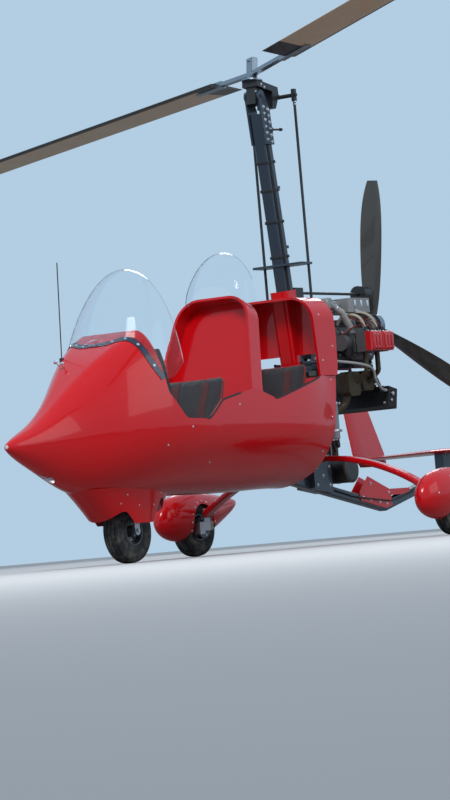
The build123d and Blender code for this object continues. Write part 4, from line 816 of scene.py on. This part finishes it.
mesh = bmesh.new()
for side in (-1, 1):
    add_pipe(mesh, route([(0.10, 0.033, 0.362), (-0.30, 0.033, 0.276), (-0.40, 0.040, 0.262),
                          (-0.70, 0.040, 0.232), (-0.80, 0.034, 0.232), (-1.20, 0.032, 0.316),
                          (-1.44, 0.034, 0.372)], side),
             0.0045, segments=8, steps=6)
finish_piece("keel_conduit", mesh, "airframe", hose_rubber)

# The mast carries black bands that hold the drive shaft behind it, and rubber cables run up its sides. It
# leans ahead as it rises, so each band is made level and turned with the mast.
mast_lean, mast_foot, mast_foot_height = radians(6.5), 0.063, 0.522


def mast_at(height):
    """The mast's centre line at this height."""
    return Vector((ahead(mast_foot + (height - mast_foot_height) * tan(mast_lean)), 0, height))


mesh = bmesh.new()
for height in (1.66, 1.86, 2.04, 2.20):
    standing_band = Matrix.Translation(mast_at(height)) @ Matrix.Rotation(mast_lean, 4, "Y")
    add_block(mesh, (-0.0435, -0.0395, -0.009), (0.0435, 0.0395, 0.009), 0.002, standing_band)
    add_block(mesh, (-0.064, -0.012, -0.007), (-0.040, 0.012, 0.007), 0.002, standing_band)
    for side in (-1, 1):
        add_bolt(mesh, standing_band @ Vector((-0.022, side * 0.0390, 0)), (0, side, 0), 0.0045)
finish_piece("mast_bands", mesh, "airframe", black_paint)
mesh = bmesh.new()
for across, along, thick in ((0.0405, 0.012, 0.0036), (0.0405, 0.022, 0.0030), (-0.0405, 0.010, 0.0042)):
    add_pipe(mesh, [mast_at(height) + Vector((along * (1 if index % 2 else 0.8), across, 0))
                    for index, height in enumerate((1.08, 1.25, 1.45, 1.65, 1.85, 2.05, 2.20, 2.32))],
             thick, segments=8, steps=4)
finish_piece("mast_cables", mesh, "airframe", hose_rubber)

# Bright bolts hold the head's cheek plates on the mast, and a short black lever for the blade stop sits
# behind them.
mesh = bmesh.new()
cheek_skin = skin_tree("head_cheeks")
for side in (-1, 1):
    for row, height in enumerate((2.315, 2.352, 2.389, 2.426, 2.463, 2.500)):
        for shift in (-0.024, 0.018):
            start = mast_at(height + 0.012 * (shift > 0)) + Vector((shift, side * 0.3, 0))
            set_bolt(mesh, cheek_skin, start, (0, -side, 0), (0.22, 0.38), 0.0072 if row % 2 else 0.006,
                     facing=(0, side, 0))
finish_piece("cheek_bolts", mesh, "airframe", bright)
mesh = bmesh.new()
lever_root = mast_at(2.385) + Vector((-0.036, 0.043, 0))
add_drum(mesh, lever_root, (-1, 0, 0.06), 0.0065, 0.105, bevel=0.001, segments=16)
add_drum(mesh, lever_root + Vector((-0.095, 0, 0.0055)), (-1, 0, 0.06), 0.010, 0.022, bevel=0.004,
         segments=18)
add_block(mesh, lever_root + Vector((-0.012, -0.008, -0.014)), lever_root + Vector((0.014, 0.010, 0.014)),
          0.003)
finish_piece("head_lever", mesh, "airframe", black_paint)

# The rotor head is machined steel in black paint, with bolts round the bearing block. The two push rods
# are black tubes, with a pair of lock nuts under the eye of each.
dress(black_paint, "head_block", "rotor_drive", "push_rod_left", "push_rod_right")
mesh = bmesh.new()
block_skin = skin_tree("head_block")
for side in (-1, 1):
    for distance, height in ((0.345, 2.625), (0.285, 2.625), (0.345, 2.600), (0.285, 2.600), (0.315, 2.640)):
        set_bolt(mesh, block_skin, (ahead(distance), side * 0.3, height), (0, -side, 0), (0.16, 0.44), 0.0055)
finish_piece("block_bolts", mesh, "rotor_head", bright)
for side, body in ((1, "push_rod_left"), (-1, "push_rod_right")):
    mesh = bmesh.new()
    for height, reach in ((2.532, 0.010), (2.518, 0.008)):
        add_drum(mesh, (ahead(0.128), side * 0.148, height), (0, 0, 1), 0.0115, reach, bevel=0.001,
                 segments=6)
    finish_piece(body + "_nuts", mesh, body, bright)

# The hub bar and its tower are bare alloy. Bolts stand along the bar and through each blade's root, on the
# surfaces they clamp.
dress(alloy, "hub_bar", "rotor_tower")
head_tilt, head_turn = radians(8.8), radians(62.5)
spin_axis = Vector((-sin(head_tilt), 0, cos(head_tilt)))
blade_line = Vector((cos(head_tilt) * cos(head_turn), sin(head_turn), sin(head_tilt) * cos(head_turn)))
teeter_line = Vector((-cos(head_tilt) * sin(head_turn), cos(head_turn), -sin(head_tilt) * sin(head_turn)))
teeter_bolt = Vector((ahead(0.3064), 0, 2.7806))
mesh = bmesh.new()
hub_skin = skin_tree("hub_bar", "rotor_blades")
for end in (-1, 1):
    for reach in (0.09, 0.15, 0.21, 0.27, 0.33, 0.415, 0.455, 0.495, 0.535):
        for shift in ((-0.018, 0.018) if reach < 0.4 else (0.0,)):
            start = teeter_bolt + blade_line * (end * reach) + teeter_line * shift + spin_axis * 0.3
            set_bolt(mesh, hub_skin, start, -spin_axis, (0, 0.5), 0.0062)
finish_piece("hub_bolts", mesh, "rotor", bright)

# The blade skins: tan with a dark strip along the front edge, dark root and tip bands, and faint
# mottling. The strip keeps to each blade's own front edge, since it is measured from the hub.
blade_tan = hard_finish("blade_tan", (0.72, 0.55, 0.36), 0.40, coat=0.2, mottle=0.22, dust=0.0, scale=4.0)
dress(blade_tan, "rotor_blades")
blade_tree = blade_tan.node_tree
blade_shader = blade_tree.nodes["Principled BSDF"]
blade_worn = next(node for node in blade_tree.nodes if node.type == "GROUP")
blade_place = add_node(blade_tree, "ShaderNodeTexCoord")
from_hub = add_node(blade_tree, "ShaderNodeVectorMath", {1: tuple(teeter_bolt)}, operation="SUBTRACT")
span = add_node(blade_tree, "ShaderNodeVectorMath", {1: tuple(blade_line)}, operation="DOT_PRODUCT")
chord = add_node(blade_tree, "ShaderNodeVectorMath", {1: tuple(teeter_line)}, operation="DOT_PRODUCT")
end_sign = add_node(blade_tree, "ShaderNodeMath", operation="SIGN")
forward = add_node(blade_tree, "ShaderNodeMath", operation="MULTIPLY")
front_strip = add_node(blade_tree, "ShaderNodeMapRange", {"From Min": 0.036, "From Max": 0.040})
from_middle = add_node(blade_tree, "ShaderNodeMath", operation="ABSOLUTE")
tip_band = add_node(blade_tree, "ShaderNodeMapRange", {"From Min": 4.14, "From Max": 4.145})
root_band = add_node(blade_tree, "ShaderNodeMapRange", {"From Min": 0.600, "From Max": 0.596})
bands = add_node(blade_tree, "ShaderNodeMath", operation="MAXIMUM")
all_bands = add_node(blade_tree, "ShaderNodeMath", operation="MAXIMUM")
banded = add_node(blade_tree, "ShaderNodeMix", {7: (0.035, 0.034, 0.036, 1)}, data_type="RGBA")
join(blade_tree, (blade_place.outputs["Object"], from_hub.inputs[0]), (from_hub.outputs[0], span.inputs[0]),
     (from_hub.outputs[0], chord.inputs[0]), (span.outputs["Value"], end_sign.inputs[0]),
     (end_sign.outputs[0], forward.inputs[0]), (chord.outputs["Value"], forward.inputs[1]),
     (forward.outputs[0], front_strip.inputs["Value"]), (span.outputs["Value"], from_middle.inputs[0]),
     (from_middle.outputs[0], tip_band.inputs["Value"]), (from_middle.outputs[0], root_band.inputs["Value"]),
     (tip_band.outputs[0], bands.inputs[0]), (root_band.outputs[0], bands.inputs[1]),
     (bands.outputs[0], all_bands.inputs[0]), (front_strip.outputs[0], all_bands.inputs[1]),
     (all_bands.outputs[0], banded.inputs[0]), (blade_worn.outputs["Color"], banded.inputs[6]),
     (banded.outputs[2], blade_shader.inputs["Base Color"]))

# The propeller's blades are laminated composite in dark grey-tan, and its hub is alloy, with a ring of bolts
# on its rear plate and a small bright cap.
prop_finish = hard_finish("prop_finish", (0.060, 0.056, 0.050), 0.34, coat=0.5, mottle=0.3, dust=0.05,
                          scale=6.0)
dress(prop_finish, "prop_blades")
dress(alloy, "prop_hub")
prop_height, prop_ring = 1.270, 0.042
mesh = bmesh.new()
prop_skin = skin_tree("prop_hub", "prop_blades")
for count in range(6):
    turn = radians(60 * count)
    start = (ahead(-1.2), prop_ring * cos(turn), prop_height + prop_ring * sin(turn))
    set_bolt(mesh, prop_skin, start, (1, 0, 0), (0, 0.45), 0.0065, facing=(-1, 0, 0))
place, normal = on_skin(prop_skin, (ahead(-1.2), 0.002, prop_height), (1, 0, 0))
add_drum(mesh, (place.x + 0.001, 0, prop_height), (-1, 0, 0), 0.022, 0.016, bevel=0.005)
finish_piece("prop_hub_bolts", mesh, "propeller", bright)

# The engine is bare cast alloy. Thin cooling fins stand round each cylinder between the crankcase and the
# head, cast with it.
cast_alloy = hard_finish("cast_alloy", (0.20, 0.205, 0.21), 0.46, metallic=0.8, mottle=0.45, dust=0.25,
                         scale=26.0, relief=0.5)
dress(cast_alloy, "engine_block", "cylinder_heads")
crank_height, cylinder_places = 1.155, (-0.315, -0.445)
fin_reach, fin_rise, fin_pitch, fin_half, fin_start = 0.058, 0.056, 0.0105, 0.0012, 0.103
mesh = bmesh.new()
for side in (-1, 1):
    for cylinder in cylinder_places:
        for fin in range(8):
            y = side * (fin_start + fin_pitch * fin)
            add_block(mesh, (ahead(cylinder) - fin_reach, y - fin_half, crank_height - fin_rise),
                      (ahead(cylinder) + fin_reach, y + fin_half, crank_height + fin_rise), 0.0008,
                      segments=1)
finish_piece("cylinder_fins", mesh, "airframe", cast_alloy)

# The rocker covers are red castings with three rounded ribs over the outer face, four bright screws between
# the ribs and three along the top.
rocker_red = hard_finish("rocker_red", (0.62, 0.006, 0.010), 0.30, coat=0.5, mottle=0.25, dust=0.12,
                         scale=30.0, relief=0.25)
dress(rocker_red, "rocker_covers")
mesh = bmesh.new()
screws = bmesh.new()
cover_skin = skin_tree("rocker_covers")
rib_half, rib_rise, cover_across, cover_top = 0.0125, 0.049, 0.262, 1.2095
for side in (-1, 1):
    for cylinder in cylinder_places:
        face = on_skin(cover_skin, (ahead(cylinder), side * 0.5, crank_height), (0, -side, 0))[0].y
        for shift in (-0.036, 0.0, 0.036):
            inner, outer = sorted((face - side * 0.004, face + side * 0.009))
            add_block(mesh, (ahead(cylinder) + shift - rib_half, inner, crank_height - rib_rise),
                      (ahead(cylinder) + shift + rib_half, outer, crank_height + rib_rise), 0.0062,
                      segments=4)
        for height in (-0.036, 0.036):
            for shift in (-0.018, 0.018):
                add_bolt(screws, (ahead(cylinder) + shift, face, crank_height + height), (0, side, 0), 0.0042)
        for shift in (-0.040, 0.0, 0.040):
            add_drum(screws, (ahead(cylinder) + shift, side * cover_across, cover_top), (0, 0, 1), 0.006,
                     0.007, bevel=0.001, segments=6)
finish_piece("rocker_ribs", mesh, "airframe", rocker_red)
finish_piece("rocker_screws", screws, "airframe", bright)

# The intake pipes are wire-wound hoses: a ring every few millimetres, with a bright clamp at each end. The
# clamps of all the engine's hoses are gathered in one piece.
pipe_grey = hard_finish("pipe_grey", (0.34, 0.35, 0.36), 0.42, metallic=0.3, mottle=0.35, dust=0.2,
                        scale=24.0, relief=0.4)
dress(pipe_grey, "intake")
ring_pitch, ring_radius, ring_width, clamp_length = 0.0086, 0.0198, 0.0052, 0.0085
mesh = bmesh.new()
clamps = bmesh.new()
# columns: distance ahead, distance to port, height, from the top of each pipe down
front_pipe = [(-0.112, 0.110, 1.386), (-0.200, 0.138, 1.332), (-0.268, 0.145, 1.250), (-0.290, 0.145, 1.190)]
rear_pipe = [(-0.430, 0.090, 1.350), (-0.445, 0.128, 1.321), (-0.550, 0.122, 1.268), (-0.572, 0.084, 1.232)]
for side in (-1, 1):
    for path, first, last in ((front_pipe, 0.048, 0.225), (rear_pipe, 0.040, 0.185)):
        points = route(path, side)
        travelled = 0.0
        for start, end in zip(points, points[1:]):
            along = (end - start).normalized()
            distance = 0.0
            while distance < (end - start).length:
                if first < travelled + distance < last:
                    target = clamps if travelled + distance < first + clamp_length else mesh
                    grow = 0.0015 if target is clamps else 0.0
                    add_drum(target, start + along * distance, along, ring_radius + grow,
                             ring_width + 4 * grow, bevel=0.0014, segments=20)
                distance += ring_pitch
            travelled += (end - start).length
        add_drum(clamps, points[-1] + Vector((0, 0, 0.014)), points[-2] - points[-1], 0.0212, 0.010,
                 bevel=0.001, segments=24)
hose_pale = hard_finish("hose_pale", (0.52, 0.52, 0.51), 0.5, metallic=0.2, mottle=0.3, dust=0.25, scale=40.0,
                        relief=0.3)
finish_piece("intake_rings", mesh, "airframe", hose_pale)

# Along the engine: coolant pipes in arcs over the heads, ignition leads with their caps, fuel lines, and
# the grey cable tube that runs from the pod past the engine down to the radiator.
coolant = bmesh.new()
leads = bmesh.new()
caps = bmesh.new()
lines = bmesh.new()
for side in (-1, 1):
    for cylinder, bend in zip(cylinder_places, (0.0, 0.012)):
        x = ahead(cylinder)
        add_pipe(coolant, [(x + 0.05, side * 0.062, 1.262), (x + 0.045, side * 0.085, 1.318 + bend),
                           (x + 0.02, side * 0.150, 1.322 + bend), (x + 0.002, side * 0.212, 1.285),
                           (x, side * 0.220, 1.208)], 0.0095, segments=12, steps=8)
        add_drum(clamps, (x, side * 0.220, 1.216), (0, 0, 1), 0.0125, 0.010, bevel=0.001, segments=20)
        for shift, start in ((0.030, -0.30), (-0.028, -0.34)):
            add_pipe(leads, [(ahead(start), side * 0.030, 1.268), (ahead(start) - 0.01, side * 0.070, 1.335),
                             (x + shift + 0.02, side * 0.150, 1.300), (x + shift + 0.01, side * 0.236, 1.262),
                             (x + shift, side * 0.238, 1.222)], 0.0036, segments=8, steps=7)
            add_drum(caps, (x + shift, side * 0.238, 1.208), (0, 0, 1), 0.0085, 0.030, bevel=0.002,
                     segments=14)
    add_pipe(lines, route([(-0.13, 0.070, 1.350), (-0.18, 0.118, 1.255), (-0.22, 0.122, 1.165),
                           (-0.30, 0.108, 1.075), (-0.36, 0.085, 1.020)], side), 0.0042, segments=8, steps=6)
    add_pipe(lines, route([(-0.15, 0.050, 1.345), (-0.27, 0.160, 1.330), (-0.42, 0.168, 1.318),
                           (-0.55, 0.120, 1.290)], side), 0.0038, segments=8, steps=6)
add_pipe(leads, route([(-0.22, 0.110, 1.20), (-0.26, 0.180, 1.255), (-0.40, 0.185, 1.250),
                       (-0.52, 0.160, 1.235), (-0.56, 0.100, 1.20)]), 0.0055, segments=8, steps=6)
tube_mesh = bmesh.new()
add_pipe(tube_mesh, route([(0.150, 0.235, 1.046), (-0.063, 0.238, 1.034), (-0.240, 0.238, 1.020),
                           (-0.352, 0.232, 0.998), (-0.392, 0.214, 0.915), (-0.540, 0.190, 0.858),
                           (-0.575, 0.180, 0.885)]),
         0.0075, segments=12, steps=8)
finish_piece("cable_tube", tube_mesh, "airframe", hose_pale)
pale_rubber = hard_finish("pale_rubber", (0.50, 0.47, 0.38), 0.42, mottle=0.35, dust=0.2, scale=30.0,
                          relief=0.2)
lead_red = hard_finish("lead_red", (0.16, 0.008, 0.008), 0.4, mottle=0.3, dust=0.15, scale=30.0, relief=0.1)
finish_piece("coolant_pipes", coolant, "airframe", pale_rubber)
finish_piece("ignition_leads", leads, "airframe", lead_red)
finish_piece("spark_caps", caps, "airframe", hose_rubber)
finish_piece("fuel_lines", lines, "airframe", hose_rubber)

# Round the crankcase: a ring of case bolts, the oil filter, a starter and an ignition box with four coil
# towers, in black paint.
mesh = bmesh.new()
case_skin = skin_tree("engine_block")
for side in (-1, 1):
    for distance in (-0.225, -0.265, -0.380, -0.505, -0.560):
        for height in (1.090, 1.220):
            set_bolt(mesh, case_skin, (ahead(distance), side * 0.18, height), (0, -side, 0), (0.02, 0.13),
                     0.0058)
    for height in (1.085, crank_height, 1.225):
        set_bolt(mesh, case_skin, (ahead(0.0), side * 0.062, height), (-1, 0, 0), (0.15, 1.0), 0.0058)
finish_piece("case_bolts", mesh, "airframe", bright)
filter_line = (0.25, 1, -0.35)
mesh = bmesh.new()
add_drum(mesh, (ahead(-0.255), 0.088, 1.118), filter_line, 0.034, 0.072, bevel=0.006, segments=32)
add_drum(mesh, (ahead(-0.255), 0.080, 1.121), filter_line, 0.038, 0.012, bevel=0.002, segments=32)
finish_piece("oil_filter", mesh, "airframe", black_paint)
mesh = bmesh.new()
add_drum(mesh, (ahead(-0.575), -0.070, 1.085), (1, 0, 0), 0.036, 0.130, bevel=0.006, segments=32)
add_drum(mesh, (ahead(-0.590), -0.070, 1.085), (1, 0, 0), 0.028, 0.020, bevel=0.003, segments=28)
add_block(mesh, (ahead(-0.42), -0.078, 1.252), (ahead(-0.29), 0.062, 1.298), 0.006)
for shift in (-0.05, -0.02, 0.01, 0.04):
    add_drum(mesh, (ahead(-0.355) + shift, 0.060, 1.276), (0, 1, 0), 0.0075, 0.014, bevel=0.001, segments=14)
finish_piece("starter_and_coils", mesh, "airframe", black_paint)

# The air box has a pleated filter at its rear and bright clips on its sides, and six ribs run round the
# clutch drum of the rotor's drive.
air_box_height, filter_face, drum_height, pleat_ring, pleats = 1.382, ahead(-0.613), 1.455, 0.030, 16
mesh = bmesh.new()
for count in range(pleats):
    turn = 2 * pi * count / pleats
    add_drum(mesh, (filter_face, pleat_ring * cos(turn), air_box_height + pleat_ring * sin(turn)),
             (-1, 0, 0), 0.0052, 0.040, bevel=0.001, segments=8)
add_drum(mesh, (filter_face, 0, air_box_height), (-1, 0, 0), 0.029, 0.044, bevel=0.003, segments=32)
finish_piece("air_filter", mesh, "airframe", hose_rubber)
mesh = bmesh.new()
for side in (-1, 1):
    inner, outer = sorted((side * 0.0935, side * 0.0985))
    for distance in (-0.43, -0.50, -0.57):
        add_block(mesh, (ahead(distance) - 0.010, inner, 1.372), (ahead(distance) + 0.010, outer, 1.412),
                  0.002)
finish_piece("air_box_clips", mesh, "airframe", bright)
mesh = bmesh.new()
for distance in (-0.628, -0.640, -0.652, -0.664, -0.676, -0.688):
    add_drum(mesh, (ahead(distance), 0, drum_height), (1, 0, 0), 0.0505, 0.005, bevel=0.0015, segments=40)
finish_piece("drive_drum_ribs", mesh, "airframe", black_paint)

# The radiator: thin cooling fins between its tanks, mounting bolts and a bright filler cap, all leaning back
# with its core.
radiator_black = hard_finish("radiator_black", (0.010, 0.012, 0.014), 0.45, metallic=0.3, mottle=0.3,
                             dust=0.15, scale=22.0, relief=0.3)
dress(radiator_black, "radiator")
mesh = bmesh.new()
rad_tilt = Matrix.Translation((ahead(-0.590), -0.015, 0.830)) @ Matrix.Rotation(radians(-12), 4, "Y")
rad_turn = rad_tilt.to_3x3()
core_half, core_reach = 0.0492, 0.185
for row in range(9):
    level = -0.046 + 0.0115 * row
    add_block(mesh, (-core_half, -core_reach, level - fin_half), (core_half, core_reach, level + fin_half),
              0.0004, rad_tilt, segments=1)
finish_piece("radiator_fins", mesh, "airframe", radiator_black)
mesh = bmesh.new()
for along in (-0.19, 0.19):
    for level in (-0.04, 0.04):
        add_bolt(mesh, rad_tilt @ Vector((0.0475, along, level)), rad_turn @ Vector((1, 0, 0)), 0.006)
# columns: place of each fitting in the radiator's own frame, direction, radius, height, bevel
for place, direction, radius, height, bevel in (((0.0, 0.150, 0.058), (0, 0, 1), 0.020, 0.014, 0.003),
                                                ((0.010, 0.2145, 0.020), (0, 1, 0), 0.012, 0.012, 0.002),
                                                ((0.020, 0.2145, -0.02), (0, 1, 0), 0.009, 0.010, 0.002)):
    add_drum(mesh, rad_tilt @ Vector(place), rad_turn @ Vector(direction), radius, height, bevel=bevel)
finish_piece("radiator_fittings", mesh, "airframe", bright)

# The hoses are black rubber. The oil canister is grey-painted, with two clamp bands and a filler cap, and a
# bright clamp closes each hose end on it and on the radiator.
dress(hose_rubber, "hoses")
canister_grey = hard_finish("canister_grey", (0.33, 0.35, 0.38), 0.38, metallic=0.35, mottle=0.2, dust=0.15,
                            scale=16.0)
dress(canister_grey, "canister")
canister_ahead, canister_across = 0.040, 0.165
for height in (0.640, 0.795):
    add_drum(clamps, (ahead(canister_ahead), canister_across, height), (0, 0, 1), 0.0372, 0.014, bevel=0.001,
             segments=40)
    add_block(clamps, (ahead(0.022), 0.196, height), (ahead(0.034), 0.214, height + 0.014), 0.002)
add_drum(clamps, (ahead(canister_ahead), canister_across, 0.8145), (0, 0, 1), 0.020, 0.018, bevel=0.003)
hose_clamp_radius = 0.0122
# columns: distance ahead, distance to port, height, direction of the hose there
for x, y, z, direction in ((-0.602, 0.078, 0.912, (0, 0, 1)), (-0.602, -0.078, 0.912, (0, 0, 1)),
                           (-0.586, 0.0735, 1.035, (0.4, 0, 1)), (-0.586, -0.0735, 1.035, (0.4, 0, 1)),
                           (0.055, 0.165, 0.592, (0, 0, 1)), (0.025, 0.165, 0.594, (0, 0, 1)),
                           (-0.063, 0.092, 0.740, (-0.12, 0, 1)), (-0.098, 0.092, 0.760, (-0.17, 0, 1))):
    add_drum(clamps, (ahead(x), y, z), direction, hose_clamp_radius, 0.009, bevel=0.001, segments=20)
finish_piece("clamps", clamps, "airframe", bright)

# The exhaust is steel stained brown by heat, and ends in a black silencer with three straps of the same
# stained steel round it.
stained = hard_finish("stained", (0.13, 0.105, 0.065), 0.44, metallic=0.75, mottle=0.65, dust=0.2, scale=17.0,
                      relief=0.5)
dress(stained, "exhaust")
dress(black_paint, "silencer")
mesh = bmesh.new()
silencer_ahead, silencer_height, strap_radius = -0.190, 0.425, 0.0768
for y in (-0.150, 0.020, 0.110):
    add_drum(mesh, (ahead(silencer_ahead), y, silencer_height), (0, 1, 0), strap_radius, 0.012, bevel=0.001,
             segments=56)
finish_piece("silencer_bands", mesh, "airframe", stained)

# Tail fittings, all of bright steel: hinge bolts on the rudder's lugs, and rows of flush rivets along the
# stabiliser's root, on the end plates and on the rudder.
mesh = bmesh.new()
for height, up in ((0.584, -1), (1.346, 1)):
    add_bolt(mesh, (ahead(-1.780), 0, height), (0, 0, up), 0.0065)
tail_skin = skin_tree("stabiliser", "tail_fin", "tip_plates")
rudder_skin = skin_tree("rudder")
rudder_mesh = bmesh.new()
rivet_radius, rivet_height, rivet_bevel = 0.0045, 0.0022, 0.0008
for side in (-1, 1):
    for distance in (-1.40, -1.50, -1.60, -1.70, -1.80):
        for y in ((0.06, 0.66) if distance < -1.62 else (0.06,)):
            for level, up, reach in ((0.60, -1, (0.05, 0.14)), (0.40, 1, (0.06, 0.15))):
                set_screw(mesh, tail_skin, (ahead(distance), side * y, level), (0, 0, up), reach,
                          rivet_radius, rivet_height, rivet_bevel, segments=12)
    for height in (0.60, 0.75, 0.90):
        set_screw(mesh, tail_skin, (ahead(-1.86), side * 1.2, height), (0, -side, 0), (0, 0.7),
                  rivet_radius, rivet_height, rivet_bevel, segments=12)
    for height in (0.66, 0.86, 1.06, 1.26):
        for distance in (-1.82, -1.93):
            set_screw(rudder_mesh, rudder_skin, (ahead(distance), side * 0.3, height), (0, -side, 0),
                      (0.25, 0.35), 0.0042, 0.002, 0.0006, segments=12)
finish_piece("tail_rivets", mesh, "airframe", bright)
finish_piece("rudder_rivets", rudder_mesh, "rudder", bright)
